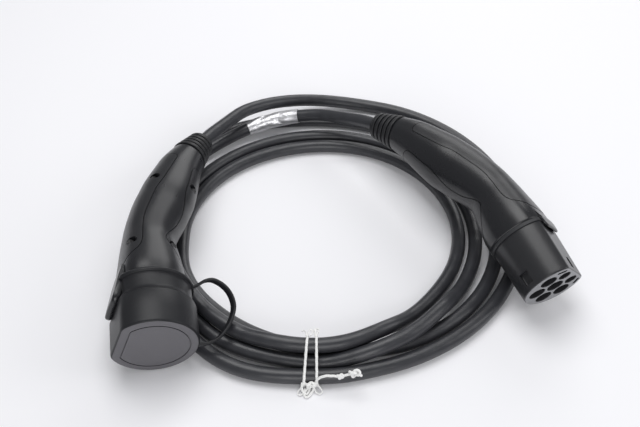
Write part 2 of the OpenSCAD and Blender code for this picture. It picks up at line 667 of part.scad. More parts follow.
// Foil label wrapped round the lead, between the two route points that its length sets
label_gap = 0.1;
module cable_label() color("#d5d6da")
    sleeve(connector_path, 12, 14, cable_d / 2 + label_gap, cable_d / 2 + label_gap + label_t);

// String round the coil at its front, two strands side by side, with a knot between them
tie_low = 1.3;
tie_middle = -93.8;
tie_turn = tie_step / 2 / lane_r(1) * 180 / PI;
tie_at = [tie_middle - tie_turn, tie_middle + tie_turn];
module tie_outline(grow) hull() {
    for (i = [0, 2]) translate([lane_r(i), cable_d / 2]) circle(cable_d / 2 + grow);
    for (i = [0.5, 1.5]) translate([lane_r(i), top_z]) circle(cable_d / 2 + grow);
}
module coil_tie() color(string_color) translate([coil_x, coil_y, 0]) union() {
    for (a = tie_at) rotate([0, 0, a]) translate([0, tie_d / 2, 0]) rotate([90, 0, 0])
        linear_extrude(tie_d) difference() {
            intersection() {
                tie_outline(tie_d + 0.3);
                square([300, 100]);
            }
            intersection() {
                tie_outline(0.3);
                translate([0, tie_low]) square([300, 100]);
            }
        }
    rotate([0, 0, tie_middle]) translate([lane_r(2) + cable_d / 2 + 2.6, 0, cable_d * 0.55])
        rotate([90, 0, 0]) cylinder(h = tie_step + tie_d, r = 2.2, center = true);
}

on_connector() shell_half(1, connector_lip);  // connector_shell_left
on_connector() shell_half(-1, connector_lip);  // connector_shell_right
on_connector() spine_cover();  // connector_spine_cover
on_connector() grip_pad();  // connector_grip_pad
on_connector() connector_nose();
on_connector() connector_seal();
on_connector() contact_carrier();  // connector_contact_carrier
on_connector() contact("pe");  // connector_contact_pe
on_connector() contact("l1");  // connector_contact_l1
on_connector() contact("l2");  // connector_contact_l2
on_connector() contact("l3");  // connector_contact_l3
on_connector() contact("n");  // connector_contact_n
on_connector() contact("cp");  // connector_contact_cp
on_connector() contact("pp");  // connector_contact_pp
on_connector() coding_resistor();  // connector_coding_resistor
on_connector() cores();  // connector_cores
on_connector() cable_clamp();  // connector_cable_clamp
on_connector() boot();  // connector_boot
on_connector() screws();  // connector_screws
on_plug() shell_half(1, plug_lip);  // plug_shell_left
on_plug() shell_half(-1, plug_lip);  // plug_shell_right
on_plug() spine_cover();  // plug_spine_cover
on_plug() grip_pad();  // plug_grip_pad
on_plug() plug_sleeve();
on_plug() plug_insert();
on_plug() contact_carrier();  // plug_contact_carrier
on_plug() pin("pe");  // plug_pin_pe
on_plug() pin("l1");  // plug_pin_l1
on_plug() pin("l2");  // plug_pin_l2
on_plug() pin("l3");  // plug_pin_l3
on_plug() pin("n");  // plug_pin_n
on_plug() pin("cp");  // plug_pin_cp
on_plug() pin("pp");  // plug_pin_pp
on_plug() coding_resistor();  // plug_coding_resistor
on_plug() cores();  // plug_cores
on_plug() cable_clamp();  // plug_cable_clamp
on_plug() boot();  // plug_boot
on_plug() screws();  // plug_screws
on_plug() plug_cap();
coil();  // cable_coil
lead_connector();  // cable_lead_connector
lead_plug();  // cable_lead_plug
cable_label();
coil_tie();
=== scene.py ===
"""Looks of an EV charging cable: two moulded handsets on one coiled cable, tied with string.

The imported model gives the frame. Every new surface is worked out with numpy, in the
millimetres of the source, and is put into its mesh in metres. Each handset has its own
place: +X out of its contact face, +Z towards its spine.
"""

import json
import logging
import math
from dataclasses import dataclass, field
from enum import Enum
from functools import cached_property
from typing import Any, Sequence

import bpy
import numpy as np
from mathutils import Matrix, Vector

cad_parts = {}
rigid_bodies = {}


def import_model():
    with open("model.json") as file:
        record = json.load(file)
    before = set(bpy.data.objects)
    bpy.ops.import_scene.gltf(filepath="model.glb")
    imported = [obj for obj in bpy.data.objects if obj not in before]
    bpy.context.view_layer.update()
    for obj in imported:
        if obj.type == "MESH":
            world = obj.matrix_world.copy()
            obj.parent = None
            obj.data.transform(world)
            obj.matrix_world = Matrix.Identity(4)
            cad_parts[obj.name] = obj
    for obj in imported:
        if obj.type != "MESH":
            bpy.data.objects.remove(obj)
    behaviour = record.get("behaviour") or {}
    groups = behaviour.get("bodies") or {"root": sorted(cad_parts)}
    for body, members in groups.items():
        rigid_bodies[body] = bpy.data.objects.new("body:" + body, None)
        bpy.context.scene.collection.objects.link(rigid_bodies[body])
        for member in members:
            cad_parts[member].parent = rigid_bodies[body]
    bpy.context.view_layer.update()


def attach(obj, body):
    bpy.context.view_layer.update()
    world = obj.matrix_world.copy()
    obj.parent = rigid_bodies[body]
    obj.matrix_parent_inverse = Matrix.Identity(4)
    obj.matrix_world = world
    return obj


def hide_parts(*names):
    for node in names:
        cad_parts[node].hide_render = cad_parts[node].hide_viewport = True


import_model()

MM = 0.001
LOG = logging.getLogger("charging_cable")
Array = np.ndarray


# Curves and meshes

def catmull(points: Array, steps: Array) -> Array:
    """Read a Catmull-Rom curve: a cubic through each pair of points, bent by their neighbours.

    Args:
        points: Control points, one row each.
        steps: Places on the list, where 1.5 is halfway from the second to the third point.

    Returns:
        One row for each step.
    """
    last = len(points) - 1
    i = np.minimum(np.floor(steps).astype(int), last - 1)
    f = (steps - i)[:, None]
    a, b = points[np.maximum(i - 1, 0)], points[i]
    c, d = points[i + 1], points[np.minimum(i + 2, last)]
    return 0.5 * (2 * b + (c - a) * f + (2 * a - 5 * b + 4 * c - d) * f**2
                  + (3 * b - a - 3 * c + d) * f**3)


def distances(path: Array) -> Array:
    """Distance along a path at each of its points, from 0 at the first."""
    return np.r_[0, np.cumsum(np.linalg.norm(np.diff(path, axis=0), axis=1))]


def evenly(path: Array, step: float) -> Array:
    """Walk along a dense path and set points an even distance apart.

    Args:
        path: Dense points.
        step: Wanted distance between points.

    Returns:
        Points about step apart, with both ends kept.
    """
    run = distances(path)
    at = np.linspace(0, run[-1], max(2, round(run[-1] / step)) + 1)
    return np.column_stack([np.interp(at, run, path[:, k]) for k in range(3)])


def softened(path: Array, width: float) -> Array:
    """Average each point with its neighbours under a bell curve, with both ends held.

    Args:
        path: Points an even distance apart.
        width: Spread of the bell curve, in points.

    Returns:
        The smoother path.
    """
    reach = int(3 * width) + 1
    bell = np.exp(-0.5 * (np.arange(-reach, reach + 1) / width) ** 2)
    bell /= bell.sum()
    before = 2 * path[0] - path[reach:0:-1]
    after = 2 * path[-1] - path[-2:-reach - 2:-1]
    long = np.vstack([before, path, after])
    return np.column_stack([np.convolve(column, bell, "valid") for column in long.T])


def tangents(path: Array) -> Array:
    """Unit direction at each point: the difference of its two neighbours, made one long."""
    run = np.gradient(path, axis=0)
    return run / np.linalg.norm(run, axis=1)[:, None]


def steady_frame(path: Array, up: Array) -> tuple[Array, Array]:
    """Two directions across a path: run x up, and their cross product with the run.

    Args:
        path: Points of the path.
        up: One direction, or one for each point, that is never along the path.

    Returns:
        The side and the raised direction at each point.
    """
    run = tangents(path)
    side = np.cross(run, np.broadcast_to(up, run.shape))
    side /= np.linalg.norm(side, axis=1)[:, None]
    return side, np.cross(side, run)


def turning_frame(path: Array) -> tuple[Array, Array]:
    """Two directions across a path that turn as little as they can from point to point.

    Args:
        path: Points of the path.

    Returns:
        The side and the raised direction at each point.
    """
    run = tangents(path)
    side = np.zeros_like(run)
    first = np.cross(run[0], [0.3, 0.1, 1.0])
    side[0] = first / np.linalg.norm(first)
    for i in range(1, len(run)):
        s = side[i - 1] - run[i] * np.dot(side[i - 1], run[i])
        side[i] = s / np.linalg.norm(s)
    return side, np.cross(side, run)


def grid_faces(rows: int, around: int, closed: bool = False) -> Array:
    """Quads of a grid that is closed round each row.

    Args:
        rows: Number of rings.
        around: Points in each ring.
        closed: Join the last ring to the first.

    Returns:
        Four vertex numbers for each face.
    """
    i = np.arange(rows if closed else rows - 1)[:, None]
    k = np.arange(around)[None, :]
    j, n = (k + 1) % around, (i + 1) % rows
    return np.stack([i * around + k, i * around + j, n * around + j, n * around + k],
                    axis=-1).reshape(-1, 4)


def new_object(name: str, points: Array, faces: list[list[int]], crease: float = 40) -> bpy.types.Object:
    """Put points in millimetres and faces into a new object, with faces outwards.

    The signed volume is the sum of each triangle's corner product, and a negative one
    turns every face round.

    Args:
        name: Name of the piece.
        points: Corner points in millimetres.
        faces: Corner numbers of each face.
        crease: Edges that bend more than this many degrees stay sharp.

    Returns:
        The linked object.
    """
    a = points[[f[0] for f in faces]]
    fans = sum(float(np.einsum("ij,ij->", a[keep], np.cross(points[[faces[n][k] for n in keep]],
                                                            points[[faces[n][k + 1] for n in keep]])))
               for k in range(1, max(len(f) for f in faces) - 1)
               for keep in [[n for n, f in enumerate(faces) if len(f) > k + 1]])
    if fans < 0:
        faces = [f[::-1] for f in faces]
    mesh = bpy.data.meshes.new(name)
    mesh.from_pydata((points * MM).tolist(), [], faces)
    mesh.update(calc_edges=True)
    obj = bpy.data.objects.new(name, mesh)
    bpy.context.scene.collection.objects.link(obj)
    smooth(obj, crease)
    return obj


def smooth(obj: bpy.types.Object, crease: float) -> None:
    """Shade an object smooth, with edges over crease degrees kept sharp."""
    obj.data.polygons.foreach_set("use_smooth", np.ones(len(obj.data.polygons), dtype=bool))
    obj.data.set_sharp_from_angle(angle=math.radians(crease))


def loft(name: str, rings: Array, crease: float = 40, closed: bool = False) -> bpy.types.Object:
    """Skin a pile of rings, with both ends closed by a fan to their middle point.

    Args:
        name: Name of the piece.
        rings: Array of ring, point and coordinate, in millimetres.
        crease: Sharp edge angle in degrees.
        closed: The last ring joins the first, and there are no ends.

    Returns:
        The new object.
    """
    rows, around = rings.shape[:2]
    points = rings.reshape(-1, 3)
    faces = grid_faces(rows, around, closed).tolist()
    if not closed:
        points = np.vstack([points, rings[0].mean(axis=0), rings[-1].mean(axis=0)])
        low, high = rows * around, rows * around + 1
        k = np.arange(around)
        j = (k + 1) % around
        base = (rows - 1) * around
        faces += np.column_stack([j, k, np.full(around, low)]).tolist()
        faces += np.column_stack([base + k, base + j, np.full(around, high)]).tolist()
    return new_object(name, points, faces, crease)


def circles(path: Array, radius: Array, around: int, side: Array, raised: Array) -> Array:
    """Circle round each point of a path: centre + r cos(t) side + r sin(t) raised.

    Args:
        path: Centre points in millimetres.
        radius: Radius at each point, or at each point and angle.
        around: Points in each circle.
        side: First direction across the path at each point.
        raised: Second direction across the path at each point.

    Returns:
        Array of ring, point and coordinate.
    """
    t = np.linspace(0, 2 * np.pi, around, endpoint=False)[None, :, None]
    r = np.broadcast_to(np.reshape(radius, (len(path), -1)), (len(path), around))[..., None]
    return path[:, None] + r * (np.cos(t) * side[:, None] + np.sin(t) * raised[:, None])


def tube(name: str, path: Array, radius: Array, around: int, across: tuple[Array, Array],
         crease: float = 60) -> bpy.types.Object:
    """Carry a circle along an open path, with both ends closed.

    Args:
        name: Name of the piece.
        path: Centre points in millimetres.
        radius: Radius at each point, or at each point and angle.
        around: Points in each ring.
        across: Side and raised directions.
        crease: Sharp edge angle in degrees.

    Returns:
        The new object, with a UV map in metres along and turns round.
    """
    obj = loft(name, circles(path, radius, around, *across), crease)
    unwrap(obj, distances(path) * MM, around)
    return obj


def hoop(name: str, path: Array, radius: Array, around: int) -> bpy.types.Object:
    """Carry a circle once round a closed path.

    Args:
        name: Name of the piece.
        path: Centre points in millimetres, without the first one at the end.
        radius: Radius at each point, or at each point and angle.
        around: Points in each ring.

    Returns:
        The new object.
    """
    run = np.roll(path, -1, axis=0) - np.roll(path, 1, axis=0)
    side = np.cross(run, path - path.mean(axis=0))
    side /= np.linalg.norm(side, axis=1)[:, None]
    raised = np.cross(side, run / np.linalg.norm(run, axis=1)[:, None])
    return loft(name, circles(path, radius, around, side, raised), 70, closed=True)


def unwrap(obj: bpy.types.Object, run: Array, around: int) -> None:
    """Give a tube the UV map (metres along, turns round), read from its corner numbers.

    Args:
        obj: The tube, with its rings' corners first and in order.
        run: Distance along at each ring, in metres.
        around: Points in each ring.
    """
    mesh = obj.data
    corner = np.zeros(len(mesh.loops), dtype=int)
    mesh.loops.foreach_get("vertex_index", corner)
    start = np.zeros(len(mesh.polygons), dtype=int)
    mesh.polygons.foreach_get("loop_start", start)
    size = np.diff(np.r_[start, len(corner)])
    spoke = corner % around
    spread = np.maximum.reduceat(spoke, start) - np.minimum.reduceat(spoke, start)
    on_seam = np.repeat(spread > around / 2, size)
    turn = np.where(on_seam & (spoke == 0), around, spoke) / around
    along = run[np.minimum(corner // around, len(run) - 1)]
    layer = mesh.uv_layers.new(name="along_round")
    layer.data.foreach_set("uv", np.column_stack([along, turn]).astype(np.float32).ravel())


def carve(obj: bpy.types.Object, tool: bpy.types.Object, way: str = "DIFFERENCE") -> None:
    """Cut, join or keep the overlap of two closed solids, and drop the tool.

    Args:
        obj: Solid that stays.
        tool: Solid that is used up.
        way: DIFFERENCE, UNION or INTERSECT.
    """
    cut = obj.modifiers.new("cut", "BOOLEAN")
    cut.operation, cut.solver, cut.object = way, "MANIFOLD", tool
    bpy.context.view_layer.update()
    done = bpy.data.meshes.new_from_object(obj.evaluated_get(bpy.context.evaluated_depsgraph_get()))
    obj.modifiers.remove(cut)
    done.name = obj.data.name + "_cut"
    obj.data = done
    bpy.data.objects.remove(tool)


def prism(name: str, outline: Array, low: Array, high: Array) -> bpy.types.Object:
    """Push a flat outline from one place to another.

    Args:
        name: Name of the tool.
        outline: Closed outline, one row of three coordinates each.
        low: Shift of the near end.
        high: Shift of the far end.

    Returns:
        The closed prism.
    """
    n = len(outline)
    points = np.vstack([outline + low, outline + high])
    faces = [[k, (k + 1) % n, n + (k + 1) % n, n + k] for k in range(n)]
    return new_object(name, points, faces + [list(range(n))[::-1], list(range(n, 2 * n))])


def rod(name: str, start: Array, end: Array, radius: float, around: int = 40) -> bpy.types.Object:
    """Round rod between two points, used as a drill."""
    path = np.array([start, end], dtype=float)
    up = [0, 0, 1] if abs(path[1, 2] - path[0, 2]) < np.ptp(path[:, :2], axis=0).max() else [0, 1, 0]
    return tube(name, path, np.array([radius, radius]), around, steady_frame(path, np.array(up)))


def d_outline(r: float, flat: float, corner: float, count: int = 120) -> Array:
    """Outline with one flat side up: a circle of radius r cut at height flat, corners rounded.

    A corner circle touches both the flat and the big circle, so its middle lies at
    height flat - corner and at distance r - corner from the middle.

    Args:
        r: Radius of the big circle.
        flat: Height of the flat side.
        corner: Radius of the two corners.
        count: Points in the outline.

    Returns:
        Points in [y, z], an even distance apart.
    """
    cz = flat - corner
    cy = math.sqrt((r - corner) ** 2 - cz**2)
    low = math.atan2(cz, cy)
    a = np.linspace(low, np.pi / 2, 40)
    right = np.column_stack([cy + corner * np.cos(a), cz + corner * np.sin(a)])
    left = right[::-1] * [-1, 1]
    b = np.linspace(np.pi - low, 2 * np.pi + low, 240)[1:-1]
    dense = np.vstack([right, left, r * np.column_stack([np.cos(b), np.sin(b)])])
    ring = np.vstack([dense, dense[:1]])
    run = distances(ring)
    at = np.linspace(0, run[-1], count, endpoint=False)
    return np.column_stack([np.interp(at, run, ring[:, k]) for k in range(2)])


def offset_line(line: Array, grow: float) -> Array:
    """Move a line in its plane by grow, to the left of its run."""
    run = np.gradient(line, axis=0)
    run /= np.linalg.norm(run, axis=1)[:, None]
    return line + grow * np.column_stack([-run[:, 1], run[:, 0]])


def noise_along(count: int, seed: int, width: float) -> Array:
    """Seeded smooth noise of mean 0 and spread 1: random numbers under a bell curve."""
    dice = np.random.default_rng(seed).normal(size=(count + 80, 1))
    wave = softened(dice, width)[:count, 0]
    return (wave - wave.mean()) / (wave.std() + 1e-9)


# Finishes

class Value:
    """A shader socket that takes part in sums: each operator adds one Math node."""

    def __init__(self, shade: "Shade", socket: bpy.types.NodeSocket) -> None:
        """Keep the material's shade and the socket."""
        self.shade, self.socket = shade, socket

    def _sum(self, operation: str, first: Any, second: Any) -> "Value":
        """Add a Math node of one operation for two values or numbers."""
        made = self.shade.node("ShaderNodeMath", {"operation": operation}, {0: first, 1: second})
        return Value(self.shade, made.outputs[0])

    def __add__(self, other: Any) -> "Value":
        """Self plus other."""
        return self._sum("ADD", self, other)

    def __radd__(self, other: Any) -> "Value":
        """Other plus self."""
        return self._sum("ADD", other, self)

    def __sub__(self, other: Any) -> "Value":
        """Self minus other."""
        return self._sum("SUBTRACT", self, other)

    def __rsub__(self, other: Any) -> "Value":
        """Other minus self."""
        return self._sum("SUBTRACT", other, self)

    def __mul__(self, other: Any) -> "Value":
        """Self times other."""
        return self._sum("MULTIPLY", self, other)

    def __rmul__(self, other: Any) -> "Value":
        """Other times self."""
        return self._sum("MULTIPLY", other, self)

    def __pow__(self, other: Any) -> "Value":
        """Self to the power of other."""
        return self._sum("POWER", self, other)

    def above(self, low: float, high: float) -> "Value":
        """Share of the way from low to high, held between 0 and 1."""
        made = self.shade.node("ShaderNodeMapRange", {"clamp": True},
                               {"Value": self, "From Min": low, "From Max": high})
        return Value(self.shade, made.outputs["Result"])


Colour = tuple[float, float, float]


class Shade:
    """One material under construction, with its shader and short ways to add nodes."""

    def __init__(self, name: str) -> None:
        """Start an empty material with one Principled shader."""
        self.material = bpy.data.materials.new(name)
        self.material.use_nodes = True
        self.tree = self.material.node_tree
        self.tree.nodes.clear()
        self.shader = self.node("ShaderNodeBsdfPrincipled", {}, {})
        out = self.node("ShaderNodeOutputMaterial", {}, {})
        self.tree.links.new(self.shader.outputs[0], out.inputs["Surface"])

    def node(self, kind: str, settings: dict[str, Any], sockets: dict[Any, Any]) -> bpy.types.Node:
        """Add one node.

        Args:
            kind: Node type.
            settings: Its settings, such as an operation, set before the sockets.
            sockets: Values, colours or links by socket name or number.

        Returns:
            The new node.
        """
        made = self.tree.nodes.new(kind)
        for key, value in settings.items():
            setattr(made, key, value)
        self.feed(made, sockets)
        return made

    def feed(self, node: bpy.types.Node, sockets: dict[Any, Any]) -> None:
        """Set or link sockets of a node: a Value or socket is linked, a number is set."""
        for key, value in sockets.items():
            if isinstance(value, Value):
                value = value.socket
            if isinstance(value, bpy.types.NodeSocket):
                self.tree.links.new(value, node.inputs[key])
            else:
                if isinstance(value, tuple) and len(value) == 3 and node.inputs[key].type == "RGBA":
                    value = (*value, 1.0)
                node.inputs[key].default_value = value

    def place(self, scale: Sequence[float] = (1, 1, 1), turn: Sequence[float] = (0, 0, 0),
              uv: bool = False) -> bpy.types.NodeSocket:
        """Object coordinates, or the piece's own UV map, turned and scaled."""
        at = self.node("ShaderNodeTexCoord", {}, {}).outputs["UV" if uv else "Object"]
        return self.node("ShaderNodeMapping", {}, {"Vector": at, "Scale": tuple(scale),
                                                   "Rotation": tuple(turn)}).outputs[0]

    def noise(self, at: bpy.types.NodeSocket, scale: float, detail: float = 2,
              rough: float = 0.5) -> Value:
        """Noise about 0.5 at a place, with scale in waves a metre."""
        made = self.node("ShaderNodeTexNoise", {}, {"Vector": at, "Scale": scale, "Detail": detail,
                                                    "Roughness": rough})
        return Value(self, made.outputs["Fac"])

    def cells(self, at: bpy.types.NodeSocket, scale: float, feature: str = "F1") -> Value:
        """Distance to the nearest of many scattered points, in cells."""
        made = self.node("ShaderNodeTexVoronoi", {"feature": feature}, {"Vector": at, "Scale": scale})
        return Value(self, made.outputs["Distance"])

    def waves(self, at: bpy.types.NodeSocket, scale: float, twist: float) -> Value:
        """Sine bands across X, with scale in bands a metre, bent a little by twist."""
        made = self.node("ShaderNodeTexWave", {"bands_direction": "X"},
                         {"Vector": at, "Scale": scale, "Distortion": twist, "Detail": 1.0})
        return Value(self, made.outputs["Fac"])

    def blend(self, share: Value, low: Colour, high: Colour) -> bpy.types.NodeSocket:
        """Colour between low and high by a share of 0 to 1."""
        made = self.node("ShaderNodeMix", {"data_type": "RGBA"}, {0: share, 6: (*low, 1), 7: (*high, 1)})
        return made.outputs[2]

    def bump(self, height: Value, depth: float) -> bpy.types.NodeSocket:
        """Normal bent by a height of 0 to 1 that stands for depth in metres."""
        return self.node("ShaderNodeBump", {}, {"Height": height, "Distance": depth}).outputs[0]


def shaded(colour: Colour, factor: float) -> Colour:
    """The colour with each part times factor."""
    return tuple(min(1.0, c * factor) for c in colour)


@dataclass(frozen=True)
class MouldedPlastic:
    """Spark-textured moulding: fine pits, soft cloudy sheen and faint rubbed streaks."""

    name: str
    colour: Colour
    roughness: float = 0.46
    pit: float = 0.00045
    depth: float = 0.00004
    wear: float = 0.12
    level: float = 0.5

    def material(self) -> bpy.types.Material:
        """Build the material."""
        s = Shade(self.name)
        at = s.place()
        cloud = s.noise(at, 16, 3)
        pits = s.cells(at, 1 / self.pit) * 0.6 + s.noise(at, 1.6 / self.pit, 2) * 0.5
        streak = s.noise(s.place((1, 0.14, 1), (0, 0.4, 0.7)), 420, 3, 0.6).above(0.56, 0.74)
        worn = streak * s.noise(at, 34, 2).above(0.45, 0.7)
        tone = cloud * 0.7 + pits * 0.16 + worn * self.wear
        s.feed(s.shader, {"Base Color": s.blend(tone.above(0.2, 0.85), shaded(self.colour, 0.88),
                                                shaded(self.colour, 1.14)),
                          "Roughness": self.roughness + (cloud - 0.5) * 0.1 - worn * self.wear * 0.6,
                          "Normal": s.bump(pits, self.depth), "Specular IOR Level": self.level})
        return s.material


@dataclass(frozen=True)
class CableJacket:
    """Extruded jacket: fine lines along it, the lay of the cores as a slow twist, dull dust."""

    name: str
    colour: Colour
    roughness: float = 0.42

    def material(self) -> bpy.types.Material:
        """Build the material."""
        s = Shade(self.name)
        at = s.place()
        lines = s.noise(s.place((2.2, 46, 1), uv=True), 6, 3, 0.6)
        lay = s.waves(s.place((1, 0.0135, 1), uv=True), 21, 0.6)
        dust = s.noise(at, 120, 4, 0.65).above(0.52, 0.8)
        grain = s.noise(at, 2600, 2)
        tone = lines * 0.34 + lay * 0.2 + s.noise(at, 22, 2) * 0.46
        s.feed(s.shader, {"Base Color": s.blend((tone + dust * 0.14).above(0.2, 0.85),
                                                shaded(self.colour, 0.86), shaded(self.colour, 1.18)),
                          "Roughness": self.roughness + dust * 0.13 + (lines - 0.5) * 0.12,
                          "Normal": s.bump(lines * 0.5 + lay * 0.9 + grain * 0.22, 0.00011)})
        return s.material


@dataclass(frozen=True)
class CrinkledFoil:
    """Bright metal film with sharp creases between small flat facets."""

    name: str
    colour: Colour

    def material(self) -> bpy.types.Material:
        """Build the material."""
        s = Shade(self.name)
        at = s.place()
        crease = s.cells(at, 95, "DISTANCE_TO_EDGE").above(0.0, 0.12)
        fine = s.noise(at, 210, 2)
        dull = shaded(self.colour, 0.9)
        s.feed(s.shader, {"Base Color": s.blend(fine.above(0.3, 0.7), dull, self.colour),
                          "Roughness": 0.3 + fine * 0.16 + (1 - crease) * 0.1, "Metallic": 0.85,
                          "Normal": s.bump(crease * 0.5 + fine * 0.8, 0.0002)})
        return s.material


@dataclass(frozen=True)
class TwistedString:
    """White packing string: plies that wind round it, and fuzz between them."""

    name: str
    colour: Colour
    bands: float = 190.0

    def material(self) -> bpy.types.Material:
        """Build the material."""
        s = Shade(self.name)
        ply = s.waves(s.place((1, 0.0021, 1), (0, 0, 0.5), uv=True), self.bands, 0.4)
        fuzz = s.noise(s.place(), 1900, 3, 0.7)
        dull = shaded(self.colour, 0.9)
        s.feed(s.shader, {"Base Color": s.blend(ply * 0.6 + fuzz * 0.4, dull, self.colour),
                          "Roughness": 0.62 + fuzz * 0.2, "Sheen Weight": 0.25,
                          "Normal": s.bump(ply * 0.7 + fuzz * 0.5, 0.00016)})
        return s.material


@dataclass(frozen=True)
class TurnedMetal:
    """Plated metal with turning lines and a little tarnish."""

    name: str
    colour: Colour
    roughness: float = 0.27

    def material(self) -> bpy.types.Material:
        """Build the material."""
        s = Shade(self.name)
        at = s.place()
        rings = s.noise(s.place((0.2, 3.0, 0.2), (0, 0, 0.2)), 900, 2)
        tarnish = s.noise(at, 260, 4, 0.6).above(0.5, 0.8)
        s.feed(s.shader, {"Base Color": s.blend(tarnish, self.colour, shaded(self.colour, 0.62)),
                          "Roughness": self.roughness + rings * 0.1 + tarnish * 0.2, "Metallic": 1.0,
                          "Normal": s.bump(rings, 0.00003)})
        return s.material


@dataclass(frozen=True)
class PaleFloor:
    """Plain pale floor that keeps the shadow and looks near white to the camera."""

    name: str
    colour: Colour
    glow: float

    def material(self) -> bpy.types.Material:
        """Build the material: a matt floor, and a little light of its own for direct looks."""
        s = Shade(self.name)
        path = s.node("ShaderNodeLightPath", {}, {})
        seen = (Value(s, path.outputs["Is Camera Ray"]) + Value(s, path.outputs["Is Glossy Ray"])
                + Value(s, path.outputs["Is Transmission Ray"])).above(0, 1)
        lit = s.node("ShaderNodeEmission", {}, {"Color": self.colour, "Strength": self.glow})
        both = s.node("ShaderNodeAddShader", {}, {0: s.shader.outputs[0], 1: lit.outputs[0]})
        mix = s.node("ShaderNodeMixShader", {}, {0: seen, 1: s.shader.outputs[0], 2: both.outputs[0]})
        s.tree.links.new(mix.outputs[0], s.tree.nodes["Material Output"].inputs["Surface"])
        s.feed(s.shader, {"Base Color": self.colour, "Roughness": 0.85, "Specular IOR Level": 0.1})
        return s.material


class Finish(Enum):
    """Every finish of the cable."""

    SHELL = MouldedPlastic("shell_plastic", (0.0125, 0.013, 0.0155), 0.29)
    PANEL = MouldedPlastic("panel_plastic", (0.0145, 0.015, 0.0175), 0.35, 0.0006, 0.00006)
    NOSE = MouldedPlastic("nose_plastic", (0.021, 0.0215, 0.024), 0.33, 0.0004, 0.00002, 0.18)
    # Lighter copy of the nose plastic for its front face: painted light on that face.
    NOSE_FACE = MouldedPlastic("nose_face_plastic", (0.24, 0.243, 0.255), 0.4, 0.0004, 0.00002, 0.1)
    INSERT = MouldedPlastic("insert_plastic", (0.03, 0.031, 0.034), 0.45, 0.0005)
    RUBBER = MouldedPlastic("boot_rubber", (0.014, 0.0145, 0.0165), 0.42, 0.0003, 0.00003, 0.08, 0.4)
    SEAL = MouldedPlastic("seal_rubber", (0.03, 0.031, 0.034), 0.55, 0.0003, 0.00002, 0.05, 0.4)
    CAP = MouldedPlastic("cap_rubber", (0.0125, 0.013, 0.0155), 0.44, 0.0004, 0.00003, 0.1, 0.35)
    # Lighter copy of the cap rubber for its front face: painted light on that face.
    CAP_FACE = MouldedPlastic("cap_face_rubber", (0.13, 0.127, 0.138), 0.62, 0.0004, 0.00003, 0.1, 0.4)
    INNER = MouldedPlastic("inner_plastic", (0.62, 0.62, 0.6), 0.5, 0.0005)
    CORES = MouldedPlastic("core_insulation", (0.16, 0.17, 0.2), 0.45, 0.0004)
    RESISTOR = MouldedPlastic("resistor_lacquer", (0.42, 0.25, 0.12), 0.35, 0.0003)
    CABLE = CableJacket("cable_jacket", (0.033, 0.034, 0.039), 0.31)
    FOIL = CrinkledFoil("foil_label", (0.7, 0.7, 0.72))
    STRING = TwistedString("packing_string", (0.93, 0.93, 0.92))
    METAL = TurnedMetal("plated_metal", (0.62, 0.61, 0.58))
    # Dark steel for the screws, darkened further as painted shade at the bottom of their wells.
    SCREW = TurnedMetal("screw_steel", (0.05, 0.05, 0.052), 0.42)

    def dress(self, obj: bpy.types.Object) -> None:
        """Put this finish on every slot of an object, building the material once."""
        done = bpy.data.materials.get(self.value.name) or self.value.material()
        if obj.data.materials:
            for k in range(len(obj.data.materials)):
                obj.data.materials[k] = done
        else:
            obj.data.materials.append(done)

    def dress_front(self, obj: bpy.types.Object, way: Array, middle: Array, reach: float) -> None:
        """Put this finish on the faces that look along a direction, near a plane: a lighter copy of the
        piece's finish, painted light on that side.

        Args:
            obj: Piece that has its main finish already.
            way: Direction that the faces look along, in the shared frame.
            middle: Point of the plane in metres.
            reach: Farthest distance from the plane in metres.
        """
        obj.data.materials.append(bpy.data.materials.get(self.value.name) or self.value.material())
        count = len(obj.data.polygons)
        normal, centre = np.zeros(3 * count), np.zeros(3 * count)
        obj.data.polygons.foreach_get("normal", normal)
        obj.data.polygons.foreach_get("center", centre)
        near = np.abs((centre.reshape(-1, 3) - middle) @ way) < reach
        # Faces that look along way get the painted light.
        pick = (normal.reshape(-1, 3) @ way > 0.8) & near
        obj.data.polygons.foreach_set("material_index", pick.astype(np.int32))


# Handsets

@dataclass(frozen=True)
class Place:
    """Where a handset lies: its face's middle, and its yaw, pitch and roll in degrees."""

    at: tuple[float, float, float]
    turn: tuple[float, float, float]

    def matrix(self) -> Array:
        """Roll about X, then pitch about Y, then yaw about Z, as one matrix."""
        yaw, pitch, roll = np.radians(self.turn)
        (cz, cy, cx), (sz, sy, sx) = np.cos([yaw, pitch, roll]), np.sin([yaw, pitch, roll])
        about_z = np.array([[cz, -sz, 0], [sz, cz, 0], [0, 0, 1]])
        about_y = np.array([[cy, 0, sy], [0, 1, 0], [-sy, 0, cy]])
        about_x = np.array([[1, 0, 0], [0, cx, -sx], [0, sx, cx]])
        return about_z @ about_y @ about_x

    def world(self, points: Array) -> Array:
        """Points of the handset, in the shared frame."""
        return np.asarray(points, dtype=float) @ self.matrix().T + np.array(self.at)

    def way(self, direction: Array) -> Array:
        """A direction of the handset, in the shared frame."""
        return np.asarray(direction, dtype=float) @ self.matrix().T

    def put(self, obj: bpy.types.Object) -> bpy.types.Object:
        """Move an object's mesh from the handset's frame into the shared frame."""
        m = Matrix(self.matrix().tolist()).to_4x4()
        m.translation = Vector(self.at) * MM
        obj.data.transform(m)
        obj.data.update()
        return obj


